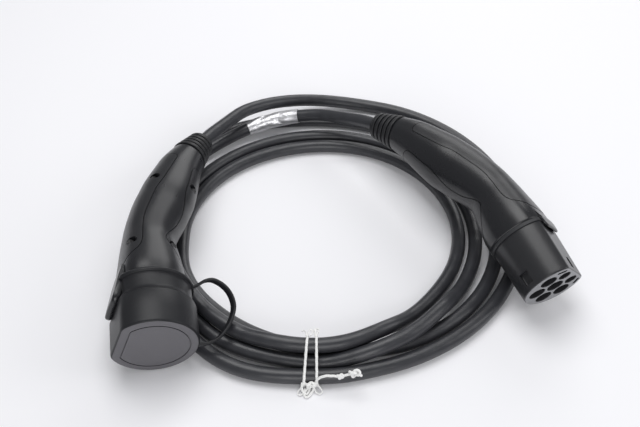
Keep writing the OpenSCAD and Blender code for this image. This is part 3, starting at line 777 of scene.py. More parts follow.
@dataclass
class Shell:
    """Curved grip shell shared by both handsets, from the cable end to the flange.

    A ring at a row is a rounded box: height h |cos p|^(2/n) and width w |sin p|^(2/n), tilted
    with the grip. Rows hold shares of the length, the drop and the tilt, and the section.
    A well is the [x, z] of its axis and the y of the screw's seat.
    """

    length: float = 158.0
    drop: float = 47.5
    front_drop: float = 3.5
    tilt: float = 33.0
    nose_len: float = 50.0
    panel_t: float = 2.2
    panel_proud: float = 0.05
    panel_short: float = 0.4
    gap: float = 0.55
    well_r: float = 3.7
    slot_r: float = 2.2
    slot_half: float = 6.0
    slot_line_r: float = 0.6
    crease: float = 38.0
    around: int = 144
    ring_count: int = 171
    edge_count: int = 7
    rows: Array = field(default_factory=lambda: np.array([
        [1.000, 1.00, 1.00, 0.00], [0.886, 0.79, 0.94, 0.45], [0.772, 0.63, 0.88, 0.75],
        [0.652, 0.46, 0.82, 1.00], [0.538, 0.29, 0.76, 1.00], [0.411, 0.11, 0.60, 1.60],
        [0.304, 0.01, 0.30, 2.00], [0.190, 0.00, 0.06, 2.50], [0.076, 0.00, 0.00, 2.93],
        [0.000, 0.00, 0.00, 3.00]]))
    half_h: tuple[float, ...] = (16.0, 25.0, 22.0, 27.5)
    half_w: tuple[float, ...] = (16.0, 23.0, 24.0, 31.0)
    square_top: tuple[float, ...] = (2.0, 2.2, 2.5, 3.0)
    square_low: tuple[float, ...] = (2.0, 2.1, 2.1, 2.1)
    spine_seam: Array = field(default_factory=lambda: np.array([
        [-150, -14], [-147, -22], [-144, -28.5], [-140, -30.5], [-133, -27.5], [-110, -16],
        [-97, -8.5], [-83, -3], [-65, 3.5], [-52, 6], [-34, 8], [-25, 11.5], [-19, 18],
        [-10, 24], [-4, 26.5]], dtype=float))
    pad_seam: Array = field(default_factory=lambda: np.array([
        [-121, -68], [-126, -60], [-129.5, -53], [-129, -47.5], [-125, -43.5], [-107, -38],
        [-96, -34.5], [-74, -31], [-58, -24], [-47, -16], [-40, -12.3], [-36, -13], [-30, -16.5],
        [-18, -24], [-10, -29.5]], dtype=float))
    wells: tuple[tuple[float, float, float], ...] = (
        (-163, -9, 11), (-85, 15.5, 15), (-154.5, -43, 11), (-84, -18.5, 17))

    @property
    def end_mid(self) -> Array:
        """Middle of the cable end."""
        return np.array([-self.nose_len - self.length, 0, -self.drop])

    @property
    def end_dir(self) -> Array:
        """Direction out of the cable end."""
        a = math.radians(self.tilt)
        return np.array([-math.cos(a), 0, -math.sin(a)])

    def rings(self, inset: float, over: float, edge: float = 1.6) -> Array:
        """Rings of the shell's form, with rounded ends.

        Args:
            inset: How far every ring is moved in.
            over: How much longer the form is at both ends.
            edge: Radius of the rounding at both ends.

        Returns:
            Array of ring, point and coordinate.
        """
        row = catmull(self.rows, np.linspace(0, len(self.rows) - 1, self.ring_count))
        kind = row[:, 3]
        tables = (self.half_h, self.half_w, self.square_top, self.square_low)
        h, w, top, low = softened(np.column_stack([np.interp(kind, range(4), t) for t in tables]), 4.0).T
        a = np.radians(row[:, 2] * self.tilt)
        mid = np.column_stack([-self.nose_len - row[:, 0] * self.length, 0 * kind,
                               -self.front_drop - row[:, 1] * (self.drop - self.front_drop)])
        bend = np.linspace(0, np.pi / 2, self.edge_count)
        pull = edge * (1 - np.sin(bend))
        sink = edge * (1 - np.cos(bend))
        keep = (row[:, 0] * self.length > edge) & (row[:, 0] * self.length < self.length - edge)
        pick = np.r_[np.zeros(len(bend), int), np.flatnonzero(keep), np.full(len(bend), len(row) - 1)]
        shift = np.r_[pull[::-1] - over, np.zeros(keep.sum()), over - pull]
        tuck = np.r_[sink[::-1], np.zeros(keep.sum()), sink]
        h, w = h[pick] - inset - tuck, w[pick] - inset - tuck
        top, low, a, mid = top[pick], low[pick], a[pick], mid[pick]
        mid = mid + shift[:, None] * np.column_stack([np.cos(a), 0 * a, np.sin(a)])
        p = np.linspace(0, 2 * np.pi, self.around, endpoint=False)
        c, s = np.cos(p)[None], np.sin(p)[None]
        n = np.where(c > 0, top[:, None], low[:, None])
        u = h[:, None] * np.sign(c) * np.abs(c) ** (2 / n)
        v = w[:, None] * np.sign(s) * np.abs(s) ** (2 / n)
        sin_a, cos_a = np.sin(a)[:, None], np.cos(a)[:, None]
        return np.stack([mid[:, :1] - u * sin_a, v, mid[:, 2:] + u * cos_a], axis=-1)

    def skin(self) -> Array:
        """Rings of the panels' outer side, a hair above the shell."""
        return self.rings(-self.panel_proud, -self.panel_short)

    def zone(self, name: str, seam: Array, closing: Sequence[tuple[float, float]],
             grow: float) -> bpy.types.Object:
        """Prism across the handset below or above a seam, grown by grow.

        Args:
            name: Name of the tool.
            seam: Seam points in [x from the flange, z].
            closing: Far corners that close the outline.
            grow: How far the seam is moved out of the zone.

        Returns:
            The prism in the handset's frame.
        """
        line = catmull(seam, np.linspace(0, len(seam) - 1, 8 * len(seam)))
        far = np.array(closing, dtype=float)
        middle = far.mean(axis=0) - line.mean(axis=0)
        side = np.gradient(line, axis=0)
        left = np.column_stack([-side[:, 1], side[:, 0]])
        turn = -1 if float((left @ middle).sum()) > 0 else 1
        flat = np.vstack([offset_line(line, turn * grow), far]) - [self.nose_len, 0]
        outline = np.column_stack([flat[:, 0], 0 * flat[:, 0], flat[:, 1]])
        return prism(name, outline, np.array([0, -60, 0]), np.array([0, 60, 0]))

    def spine_zone(self, grow: float) -> bpy.types.Object:
        """Zone of the spine cover."""
        return self.zone("spine_zone", self.spine_seam, [(-2, 45), (-160, 45)], grow)

    def pad_zone(self, grow: float) -> bpy.types.Object:
        """Zone of the grip pad."""
        return self.zone("pad_zone", self.pad_seam, [(-8, -60), (-60, -100), (-118, -90)], grow)

    def drill(self, obj: bpy.types.Object) -> None:
        """Sink the four screw wells into the +Y side."""
        for x, z, seat in self.wells:
            carve(obj, rod("well", np.array([x, seat, z]), np.array([x, 60.0, z]), self.well_r))

    def body(self, name: str) -> bpy.types.Object:
        """Shell with a recess as deep as the panels, and the wells.

        Args:
            name: Name of the piece.

        Returns:
            The body in the handset's frame.
        """
        obj = loft(name, self.rings(0, 0), self.crease)
        carve(obj, self.spine_zone(self.gap / 2))
        carve(obj, self.pad_zone(self.gap / 2))
        carve(obj, loft("room", self.rings(self.panel_t + 0.1, -1.0, 0.5), self.crease), "UNION")
        self.drill(obj)
        smooth(obj, self.crease)
        return obj

    def on_top(self, x: Array, y: Array) -> Array:
        """Points of the shell's upper side at x along the middle line and y across it.

        Args:
            x: Distances from the flange, which are negative.
            y: Distances from the middle plane.

        Returns:
            One point in the handset's frame for each pair.
        """
        rings = self.skin()
        quarter = self.around // 4
        top = np.concatenate([rings[:, -quarter + 1:], rings[:, :quarter]], axis=1)
        run = (rings[:, 0, 0] + rings[:, self.around // 2, 0]) / 2
        row = np.interp(x - self.nose_len, run, np.arange(len(rings)))
        low = np.floor(row).astype(int)
        share = (row - low)[:, None]
        near, far = (np.array([[np.interp(b, ring[:, 1], ring[:, k]) for k in range(3)]
                               for ring, b in zip(top[i], y)]) for i in (low, low + 1))
        return near * (1 - share) + far * share

    def mark_slot(self, obj: bpy.types.Object, middle: tuple[float, float]) -> None:
        """Cut a fine groove into a panel, in the form of a long slot.

        Its line is a circle that is pulled apart lengthwise.

        Args:
            obj: The panel.
            middle: Middle of the slot in [x from the flange, y].
        """
        t = np.linspace(0, 2 * np.pi, 48, endpoint=False)
        x = middle[0] + self.slot_r * np.cos(t) + self.slot_half * np.sign(np.cos(t))
        line = self.on_top(x, middle[1] + self.slot_r * np.sin(t))
        path = evenly(np.vstack([line, line[:1]]), 0.6)[:-1]
        carve(obj, hoop("slot_line", path, np.full(len(path), self.slot_line_r), 10))

    def panel(self, name: str, zone: bpy.types.Object, depth: float) -> bpy.types.Object:
        """Panel that lies in a recess of the shell.

        Args:
            name: Name of the piece.
            zone: Its zone, which is used up.
            depth: How thick it is.

        Returns:
            The panel in the handset's frame.
        """
        obj = loft(name, self.skin(), self.crease)
        carve(obj, zone, "INTERSECT")
        carve(obj, loft("room", self.rings(depth, 1.0, 0.5), self.crease))
        self.drill(obj)
        smooth(obj, self.crease)
        return obj


@dataclass(frozen=True)
class Lip:
    """Sizes of the flared lip: how far it reaches past the flange, its heights, its form."""

    reach: float
    top: float
    front_low: float
    thick: float
    half: float = 17.0
    root: float = 12.0
    corner: float = 7.0
    crown: float = 0.9


@dataclass
class Handset:
    """One handset: shell, two panels, lip and ribbed boot, with its carried-over nodes."""

    name: str
    place: Place
    lip: Lip
    mark: tuple[float, float]
    shell: Shell = field(default_factory=Shell)
    cable_r: float = 6.25
    boot_len: float = 27.0
    boot_r: float = 17.0
    boot_end_r: float = 13.0
    boot_collar: tuple[float, float] = (8.8, 11.6)
    ribs: int = 5
    rib_share: float = 0.7
    rib_edges: tuple[float, float] = (0.9, 1.1)
    groove: float = 2.2
    panel_depth: float = 2.0

    def keep(self, obj: bpy.types.Object, finish: Finish, slot: str, *nodes: str) -> bpy.types.Object:
        """Place, dress and register a finished piece, and hide the nodes that it stands for."""
        self.place.put(obj)
        return register(obj, finish, slot, *nodes)

    def paint_lit_face(self, obj: bpy.types.Object, finish: Finish, front: float) -> None:
        """Give the faces of a placed piece that look out at x = front their own, lighter finish, which is
        painted light on that face.
        """
        middle = self.place.world([[front, 0, 0]])[0] * MM
        finish.dress_front(obj, self.place.way(np.array([1.0, 0, 0])), middle, 1.0 * MM)

    def build_shell(self) -> None:
        """Body, spine cover and grip pad."""
        shell, name, shrink = self.shell, self.name, -self.shell.gap / 2
        self.keep(shell.body(f"{name}_body"), Finish.SHELL, "shell",
                  f"{name}_shell_left", f"{name}_shell_right")
        spine = shell.panel(f"{name}_spine_panel", shell.spine_zone(shrink), self.panel_depth)
        shell.mark_slot(spine, self.mark)
        smooth(spine, shell.crease)
        self.keep(spine, Finish.PANEL, "panel", f"{name}_spine_cover")
        pad = shell.panel(f"{name}_palm_pad", shell.pad_zone(shrink), self.panel_depth)
        self.keep(pad, Finish.PANEL, "panel", f"{name}_grip_pad")

    def build_lip(self) -> None:
        """Flared lip over the flat side: a bent plate, crowned a little, with round front corners.

        The upper line rises in two straight runs and the lower line follows it. Each
        lengthwise section ends earlier towards the sides, on the circle of the corner, and
        its last tenth is rounded as a quarter ellipse.
        """
        lip, back, front = self.lip, -self.lip.root, self.lip.front_low + self.lip.thick
        across = np.linspace(-lip.half, lip.half, 41)
        over = np.maximum(0, np.abs(across) - (lip.half - lip.corner))
        short = lip.corner - np.sqrt(np.maximum(0, lip.corner**2 - over**2))
        t = np.linspace(0, 1, 44)
        nose = np.sqrt(np.maximum(0, 1 - np.clip((t - 0.9) / 0.1, 0, 1) ** 2))
        rings = []
        for y, cut in zip(across, short):
            x = back + t * (lip.reach - cut - back)
            crown = lip.crown * (1 - (y / lip.half) ** 2) - 0.5
            top = np.interp(x, [back, -1, lip.reach - 1, lip.reach],
                            [lip.top - 3.2, lip.top, front, front - 0.3])
            low = np.interp(x, [back, -3, 0, lip.reach], [16, 17, lip.top - 2.6, lip.front_low])
            top, low = top + crown, low + crown
            mid = (top + low) / 2
            top, low = mid + (top - mid) * nose, mid + (low - mid) * nose
            xs = np.r_[x, x[::-1][1:]] - self.shell.nose_len
            zs = np.r_[top, low[::-1][1:]]
            rings.append(np.column_stack([xs, np.full(len(xs), y), zs]))
        obj = loft(f"{self.name}_lip", np.array(rings), 50)
        edge = obj.modifiers.new("edge", "BEVEL")
        edge.width, edge.segments = 0.4 * MM, 2
        edge.limit_method, edge.angle_limit = "ANGLE", math.radians(50)
        self.keep(obj, Finish.SHELL, "shell")

    def build_boot(self) -> None:
        """Ribbed boot turned about the cable: rounded ribs that get smaller, deep grooves between."""
        pitch, (near, far), (deep, wall) = self.boot_len / self.ribs, self.rib_edges, self.boot_collar
        line = [(-deep, self.cable_r + 0.06), (-deep, wall), (-0.1, wall)]
        bend = np.linspace(0, np.pi / 2, 6)
        for i in range(self.ribs):
            r = self.boot_r + (self.boot_end_r - self.boot_r) * i / (self.ribs - 1)
            z, wide = pitch * i, pitch * self.rib_share
            line += [(z + near * (1 - math.sin(b)), r - near * (1 - math.cos(b))) for b in bend[::-1]]
            line += [(z + wide - far * (1 - math.sin(b)), r - 0.25 - far * (1 - math.cos(b))) for b in bend]
            line += [(z + wide, r - self.groove), (z + pitch, r - self.groove - 0.6)]
        line[-2:] = [(self.boot_len - 0.6, self.boot_end_r - 1.4), (self.boot_len, self.cable_r + 1.2),
                     (self.boot_len, self.cable_r + 0.06)]
        profile = np.array(line)
        out = self.shell.end_dir
        up = np.array([out[2], 0, -out[0]])
        a = np.linspace(0, 2 * np.pi, 96, endpoint=False)[:, None, None]
        spoke = np.cos(a) * up + np.sin(a) * np.array([0.0, 1.0, 0.0])
        rings = self.shell.end_mid + profile[None, :, :1] * out + profile[None, :, 1:] * spoke
        points = rings.reshape(-1, 3)
        obj = new_object(f"{self.name}_ribbed_boot", points,
                         grid_faces(len(a), len(profile), closed=True).tolist(), 45)
        self.keep(obj, Finish.RUBBER, "boot", f"{self.name}_boot")

    def dress_nodes(self, finishes: dict[str, Finish]) -> None:
        """Give the nodes that stay their finish, by the end of their name."""
        for node, finish in finishes.items():
            carry_over(f"{self.name}_{node}", finish)


def register(obj: bpy.types.Object, finish: Finish, slot: str, *nodes: str) -> bpy.types.Object:
    """Dress a finished piece, let it ride on the body, and hide the nodes that it stands for.

    Args:
        obj: Finished piece in the shared frame.
        finish: Its finish.
        slot: Name of the record's slot for the finish; not used.
        nodes: CAD nodes that it replaces.

    Returns:
        The same piece.
    """
    finish.dress(obj)
    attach(obj, "root")
    if nodes:
        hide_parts(*nodes)
    LOG.info("%s: %d faces", obj.name, len(obj.data.polygons))
    return obj


def carry_over(node: str, finish: Finish) -> None:
    """Dress a CAD node that stays as it is."""
    for obj in bpy.data.objects:
        if obj.type == "MESH" and obj.name.split(".")[0] == node:
            finish.dress(obj)


@dataclass
class Connector(Handset):
    """Vehicle connector: seven chambers in a tapered nose with a flat side."""

    nose_r: float = 29.6
    nose_flat: float = 21.6
    corner: float = 6.0
    taper: float = 0.94
    edge: float = 1.4
    back: tuple[float, float, float] = (22.4, 16.8, 4.0)
    back_len: float = 10.0
    chamber_depth: float = 33.0
    chamber_edge: float = 0.7
    chamber_r: tuple[float, float] = (7.1, 5.2)
    seat_r: tuple[float, float] = (4.55, 2.85)
    seat_end: float = 20.0
    contacts: tuple[tuple[float, float, int], ...] = (
        (0, 0, 0), (16, 0, 0), (-16, 0, 0), (8, -14.5, 0), (-8, -14.5, 0), (8, 12.3, 1), (-8, 12.3, 1))

    def build_nose(self) -> None:
        """Nose: flat-sided outlines that taper towards a rounded face, with its holes cut in.

        The outline at x is scaled by a straight taper, and near the face it is moved in
        along a quarter circle. Contacts are [y, z], and 0 for power or 1 for signal.
        """
        depth = self.shell.nose_len
        bend = np.linspace(0, np.pi / 2, 8)[1:]
        xs = np.r_[np.linspace(-depth, -self.edge, 30), -self.edge * (1 - np.sin(bend))]
        tuck = np.r_[np.zeros(30), self.edge * (1 - np.cos(bend))]
        rings = []
        for x, e in zip(xs, tuck):
            flat = d_outline(self.nose_r - e, self.nose_flat - e, self.corner, 160)
            flat = flat * (1 + (self.taper - 1) * (x + depth) / depth)
            rings.append(np.column_stack([np.full(len(flat), x), flat]))
        back = d_outline(*self.back, 160)
        for x in (-depth, -depth - self.back_len):
            rings.insert(0, np.column_stack([np.full(len(back), x), back]))
        obj = loft(f"{self.name}_nose_form", np.array(rings), 34)
        for y, z, kind in self.contacts:
            self.countersink(obj, y, z, self.chamber_r[kind])
            start, end = np.array([-depth - self.back_len - 2, y, z]), np.array([-self.seat_end, y, z])
            carve(obj, rod("seat", start, end, self.seat_r[kind]))
        for s in (-1, 1):
            carve(obj, self.block("slot", (-5.0, s * 18.4, 13.9), (15.2, 8.8, 3.0), s * -55, 1.4))
            carve(obj, self.block("pocket", (-10.5, s * 26, -12.5), (11, 8, 9), s * -22, 0.8))
        carve(obj, self.block("notch", (-10, 0, self.nose_flat * 0.95 + 1.5), (10, 7, 7.4), 0, 0.8))
        smooth(obj, 34)
        self.keep(obj, Finish.NOSE, "front", f"{self.name}_nose")
        # The front face gets a lighter copy of the nose plastic: painted light.
        self.paint_lit_face(obj, Finish.NOSE_FACE, 0.0)

    def countersink(self, obj: bpy.types.Object, y: float, z: float, r: float) -> None:
        """Sink one chamber: a drill whose mouth widens along a quarter circle."""
        bend, soft = np.linspace(0, np.pi / 2, 6)[1:], self.chamber_edge
        x = np.r_[-self.chamber_depth, -soft, -soft + soft * np.sin(bend), 1.0]
        grow = np.r_[0, 0, soft * (1 - np.cos(bend)), soft]
        path = np.column_stack([x, np.full(len(x), y), np.full(len(x), z)])
        carve(obj, tube("chamber", path, r + grow, 64, steady_frame(path, np.array([0, 0, 1.0]))))

    @staticmethod
    def block(name: str, middle: Sequence[float], size: Sequence[float], turn: float,
              corner: float) -> bpy.types.Object:
        """Block with round corners along X, turned about X through its middle.

        Args:
            name: Name of the tool.
            middle: Middle of the block.
            size: Its length, width and height.
            turn: Degrees about X.
            corner: Radius of its four long edges.

        Returns:
            The block.
        """
        a = np.linspace(0, 2 * np.pi, 32, endpoint=False)
        y = np.cos(a) * corner + np.sign(np.round(np.cos(a), 6)) * (size[1] / 2 - corner)
        z = np.sin(a) * corner + np.sign(np.round(np.sin(a), 6)) * (size[2] / 2 - corner)
        cos_t, sin_t = math.cos(math.radians(turn)), math.sin(math.radians(turn))
        ring = np.column_stack([0 * y, y * cos_t - z * sin_t, y * sin_t + z * cos_t])
        ends = [ring + np.array(middle) + [s * size[0] / 2, 0, 0] for s in (-1, 1)]
        return loft(name, np.array(ends))


@dataclass
class Plug(Handset):
    """Infrastructure plug: sleeve and pins under a rubber cap that hangs on a looped strap."""

    sleeve_r: float = 31.6
    sleeve_flat: float = 25.4
    sleeve_drop: float = 2.3
    cap_r: float = 35.75
    cap_flat: float = 29.55
    cap_front: float = 2.7
    cap_back: float = -28.6
    cap_edge: float = 2.6
    strap_half_w: float = 3.0
    strap_half_t: float = 1.3
    strap_lean: tuple[float, float, float] = (0.25, 1.0, -0.35)
    strap: Array = field(default_factory=lambda: np.array([
        [-47, 12, -32.3], [-49.5, 14, -38], [-51, 18, -43], [-51, 20, -48.5], [-48, 20.5, -54.5],
        [-43, 20, -60], [-37, 18, -64], [-30, 15, -66], [-22, 12, -64.5], [-13, 8.5, -60],
        [-5, 5, -53], [-1.8, 2, -45], [-1.2, 0, -37]]))

    def turned(self, profile: Sequence[tuple[float, float]], r: float, flat: float, corner: float) -> Array:
        """Rings of a flat-sided outline, moved in by a profile along X.

        Args:
            profile: Pairs of x and how far the outline is moved in there.
            r: Radius of the outline's big circle.
            flat: Height of its flat side.
            corner: Radius of its two corners.

        Returns:
            Array of ring, point and coordinate.
        """
        rings = []
        for x, e in profile:
            if corner - e > 1.0:
                ring = d_outline(r - e, flat - e, corner - e)
            else:
                held = corner - 1.0
                share = (r - e) / (r - held)
                ring = d_outline(r - held, flat - held, 1.0) * share
            rings.append(np.column_stack([np.full(len(ring), x), ring[:, 0], ring[:, 1] - self.sleeve_drop]))
        return np.array(rings)

    def build_cap(self) -> None:
        """Cap: hollow, with a rounded front edge and one fine groove round its face."""
        bend = np.linspace(0, np.pi / 2, 9)
        front, back, soft = self.cap_front, self.cap_back, self.cap_edge
        profile = [(front - 4, 34.0), (front - 4, 20.0), (front - 4, 4.2), (back + 0.5, 4.05), (back, 3.7),
                   (back, 0.9), (back + 0.25, 0.3), (back + 0.9, 0.0), (-14.0, 0.0)]
        profile += [(front - soft * (1 - math.sin(b)), soft * (1 - math.cos(b))) for b in bend]
        profile += [(front + 0.05, 5.0), (front + 0.05, 6.7), (front - 0.1, 6.95), (front - 0.75, 7.05),
                    (front - 0.75, 7.75), (front - 0.1, 7.85), (front + 0.05, 8.1), (front + 0.1, 14.0),
                    (front + 0.15, 24.0), (front + 0.15, 34.5)]
        obj = loft(f"{self.name}_rubber_cap", self.turned(profile, self.cap_r, self.cap_flat, 9), 32)
        self.keep(obj, Finish.CAP, "cap", f"{self.name}_cap")
        # The cap's front face gets a lighter copy of the cap rubber: painted light.
        self.paint_lit_face(obj, Finish.CAP_FACE, self.cap_front)

    def build_collar(self) -> None:
        """Collar round the sleeve: a band with a rounded rear bead and a thin front edge."""
        x0, inner, t = -self.shell.nose_len + 0.1, -0.05, 1.4
        a = np.linspace(0, np.pi, 9)
        line = [(x0, inner), (x0, -t - 0.6)]
        line += [(x0 + 2.3 - 1.9 * math.cos(b), -t - 0.45 - 1.75 * math.sin(b)) for b in a]
        line += [(x0 + 4.9, -t + 0.1), (x0 + 7.0, -t), (x0 + 15.5, -t), (x0 + 17.6, -t - 0.35),
                 (x0 + 19.4, -t - 1.1), (x0 + 20.9, -t - 2.2), (x0 + 21.2, -t - 2.2), (x0 + 21.2, inner)]
        rings = self.turned(line, self.sleeve_r, self.sleeve_flat, 6)
        obj = loft(f"{self.name}_collar", rings, 34, closed=True)
        self.keep(obj, Finish.CAP, "cap")

    def build_strap(self) -> None:
        """Strap: a band with round edges, swept along the loop from the collar to the cap's rim."""
        path = evenly(catmull(self.strap, np.linspace(0, len(self.strap) - 1, 260)), 1.0)
        run, lean = tangents(path), np.array(self.strap_lean)
        wide = lean - (run @ lean)[:, None] * run
        wide /= np.linalg.norm(wide, axis=1)[:, None]
        thick = np.cross(run, wide)
        t = np.linspace(0, 2 * np.pi, 28, endpoint=False)
        c, s = np.cos(t), np.sin(t)
        u = self.strap_half_w * np.sign(c) * np.abs(c) ** 0.5
        v = self.strap_half_t * np.sign(s) * np.abs(s) ** 0.7
        rings = path[:, None] + u[None, :, None] * wide[:, None] + v[None, :, None] * thick[:, None]
        self.keep(loft(f"{self.name}_strap", rings, 70), Finish.CAP, "cap")


# Cable, label and string

@dataclass
class Cable:
    """One continuous cable, from the plug's boot round the coil to the connector's boot.

    It leaves the plug over the back of the coil and runs clockwise for four turns, along
    lanes of (angle, radius) round the coil's middle. Each crossing is a long low hump over
    the turn below, and then the whole line settles for a set number of rounds of pushes apart.
    """

    plug: Plug
    connector: Connector
    middle: tuple[float, float, float] = (-21.0, 20.0, 0.0)
    radius: float = 6.25
    around: int = 24
    step: float = 3.2
    swell: float = 0.006
    core_lay: float = 110.0
    lanes: tuple[tuple[float, float], ...] = (
        (119, 170), (106, 183), (93, 192.5), (78, 197), (60, 198), (30, 191), (0, 179), (-30, 167),
        (-60, 157), (-88, 154.5), (-116, 163), (-140, 157), (-158, 154.5), (-182, 165), (-212, 178),
        (-240, 176), (-262, 168.5), (-290, 165.5), (-328, 165), (-356, 160), (-386, 153.5), (-416, 143.5),
        (-440, 133.5),
        (-466, 128), (-492, 127), (-516, 129.5), (-545, 128), (-580, 127.5), (-615, 125.5), (-665, 127.5),
        (-705, 126), (-735, 122.5), (-755, 120), (-772, 121.5), (-790, 128.5), (-808, 134.5), (-835, 137),
        (-862, 136.5), (-885, 138), (-905, 141), (-945, 140.5), (-1000, 141.5), (-1060, 141), (-1085, 139),
        (-1105, 136.5), (-1122, 137), (-1144, 143), (-1164, 144), (-1186, 143.5), (-1208, 146.5),
        (-1224, 142.5), (-1240, 143.5), (-1256, 150.5), (-1276, 156), (-1300, 165), (-1318, 166.5),
        (-1334, 160.5), (-1350, 148))
    humps: tuple[tuple[float, float, float, float], ...] = (
        (200, 137, 30, 66), (-790, -828, 12.4, 22), (-846, -880, 9.6, 26), (-1128, -1148, 12.2, 24),
        (-1378, -1460, 32, 76))
    clearance: float = 0.15
    rounds: int = 90
    drawn_step: float = 4.0
    held: int = 4
    self_reach: int = 14
    recall: float = 0.01
    bend_near: float = 0.6
    bend_far: float = 0.15
    push_reach: int = 7
    push_spread: float = 2.6
    push_sum: float = 1.6
    label_from: float = -1321.5
    label_to: float = -1340.5
    label_gap: float = 0.12
    label_t: float = 0.1
    tie_angle: float = -93.8
    tie_r: float = 1.08
    tie_around: int = 15
    tie_step: float = 0.5
    ply_pitch: float = 5.5
    curl_size: tuple[float, float, float] = (0.85, 0.75, 0.9)

    def end(self, handset: Handset, out: float) -> Array:
        """Point on the cable's line out of a boot, out millimetres past its end."""
        shell = handset.shell
        return handset.place.world(shell.end_mid + shell.end_dir * (handset.boot_len + out))

    def polar(self, rows: Array) -> Array:
        """Points of [angle, radius, height] round the coil, in the shared frame."""
        a, r = np.radians(rows[:, 0]), rows[:, 1]
        return np.array(self.middle) + np.column_stack([r * np.cos(a), r * np.sin(a), rows[:, 2]])

    def drawn(self) -> Array:
        """Line of the cable as it is drawn: smooth lanes, with a long low rise at each hump.

        A hump is (first angle, last angle, height, ramp). It rises along the ramp as
        height (1 - cos) / 2, keeps its height between the two angles, and falls again.
        """
        lanes = np.array(self.lanes, dtype=float)
        rows = catmull(lanes, np.linspace(0, len(lanes) - 1, 5 * len(lanes)))
        height = np.full(len(rows), self.radius)
        for first, last, tall, ramp in self.humps:
            share = np.clip(np.minimum(first + ramp - rows[:, 0], rows[:, 0] - last + ramp) / ramp, 0, 1)
            height = np.maximum(height, self.radius + tall * (0.5 - 0.5 * np.cos(np.pi * share)))
        points = np.vstack([[self.end(self.plug, d) for d in (-14, -9, -4, 2, 8)],
                            self.polar(np.column_stack([rows, height])),
                            [self.end(self.connector, d) for d in (12, 4, -4, -9, -14)]])
        return catmull(points, np.linspace(0, len(points) - 1, 10 * len(points)))

    def settled(self, path: Array) -> Array:
        """Let the cable come to rest near its drawn line.

        In each round every point is drawn a little to its drawn place and to the middle of
        its neighbours, as a stiff cable is. Then turns that are nearer than a diameter push
        each other apart, with each push spread along the cable under a bell curve, and
        nothing stays under the floor. The points in the boots are held.

        Args:
            path: The drawn line, with points an even distance apart.

        Returns:
            The line at rest.
        """
        drawn, path, count = path, path.copy(), len(path)
        free = slice(self.held, -self.held)
        wide = 2 * self.radius + self.clearance
        apart = np.abs(np.subtract.outer(np.arange(count), np.arange(count))) > self.self_reach
        bell = np.exp(-0.5 * (np.arange(-self.push_reach, self.push_reach + 1) / self.push_spread) ** 2)
        bell *= self.push_sum / bell.sum()
        for _ in range(self.rounds):
            near, far = np.zeros_like(path), np.zeros_like(path)
            near[1:-1] = (path[:-2] + path[2:]) / 2 - path[1:-1]
            far[2:-2] = (path[:-4] + path[4:]) / 2 - path[2:-2]
            path[free] += (self.recall * (drawn - path) + self.bend_near * near - self.bend_far * far)[free]
            square = (path**2).sum(axis=1)
            close = apart & (square[:, None] + square - 2 * path @ path.T < wide**2)
            i, j = np.nonzero(close)
            gap = path[i] - path[j]
            length = np.linalg.norm(gap, axis=1)[:, None]
            push = np.zeros_like(path)
            np.add.at(push, i, (wide / length - 1) * gap * 0.5)
            push /= np.maximum(1, 0.5 * close.sum(axis=1))[:, None]
            path[free] += np.column_stack([np.convolve(column, bell, "same") for column in push.T])[free]
            path[:, 2] = np.maximum(path[:, 2], self.radius)
        return path

    @cached_property
    def centre_line(self) -> Array:
        """Settled line of the cable, with points an even step apart and never under the floor."""
        path = evenly(self.settled(evenly(self.drawn(), self.drawn_step)), self.step)
        path = softened(path, 2.0)
        path[:, 2] = np.maximum(path[:, 2], self.radius)
        return path

    def angles(self, path: Array) -> Array:
        """Angle of each point round the coil in degrees, falling without jumps from the plug."""
        a = np.unwrap(np.arctan2(path[:, 1] - self.middle[1], path[:, 0] - self.middle[0]))
        return np.degrees(a)

    def build(self) -> bpy.types.Object:
        """Cable as a tube whose radius swells by a hair over the twisted cores.

        The radius is r (1 + swell cos(3 t - k s)) at angle t and distance s along.
        """
        path = self.centre_line
        run = np.arange(len(path)) * self.step
        t = np.linspace(0, 2 * np.pi, self.around, endpoint=False)
        r = self.radius * (1 + self.swell * np.cos(3 * t[None] - run[:, None] * 2 * np.pi / self.core_lay))
        obj = tube("charging_cable", path, r, self.around, steady_frame(path, np.array([0, 0, 1.0])), 70)
        return register(obj, Finish.CABLE, "cable", "cable_coil", "cable_lead_plug", "cable_lead_connector")

    def build_label(self) -> bpy.types.Object:
        """Foil sleeve: two skins round the cable, dented by sharp folds, with a lapped edge.

        The outer skin stands off by the sum of a few folded waves, |sin|, that run askew.
        """
        path = self.centre_line
        first, last = np.searchsorted(-self.angles(path), [-self.label_from, -self.label_to])
        piece, around = evenly(path[first:last + 1], 0.8), 72
        side, raised = steady_frame(piece, np.array([0, 0, 1.0]))
        t = np.linspace(0, 2 * np.pi, around, endpoint=False)
        s = np.linspace(0, 1, len(piece))[:, None]
        fold = (0.7 * np.abs(np.sin(2.6 * s * np.pi + 1.2 * np.sin(2 * t) + 0.6))
                + 0.6 * np.abs(np.sin(1.7 * s * np.pi - 2 * t + 1.1))
                + 0.3 * np.abs(np.sin(4.1 * s * np.pi + 3 * t + 0.4)))
        swell = 0.3 + 0.6 * fold * np.clip(4 * s, 0.25, 1) * np.clip(4 * (1 - s), 0.25, 1)
        seam = 0.5 * np.exp(-((t - 2.0) / 0.12) ** 2)
        outer = self.radius + self.label_gap + self.label_t + swell + seam
        inner = np.full_like(outer, self.radius + self.label_gap)
        rings = np.concatenate([circles(piece, outer, around, side, raised),
                                circles(piece, inner, around, side, raised)[::-1]])
        obj = loft("foil_sleeve", rings, 18, closed=True)
        return register(obj, Finish.FOIL, "foil", "cable_label")

    def section(self, angle: float) -> Array:
        """Middles of the turns at one angle, as [radius, height]."""
        path = self.centre_line
        a = (self.angles(path) - angle) % 360
        spots = path[np.flatnonzero((a[:-1] < 5) & (a[1:] > 180))] - np.array(self.middle)
        return np.column_stack([np.hypot(spots[:, 0], spots[:, 1]), spots[:, 2]])

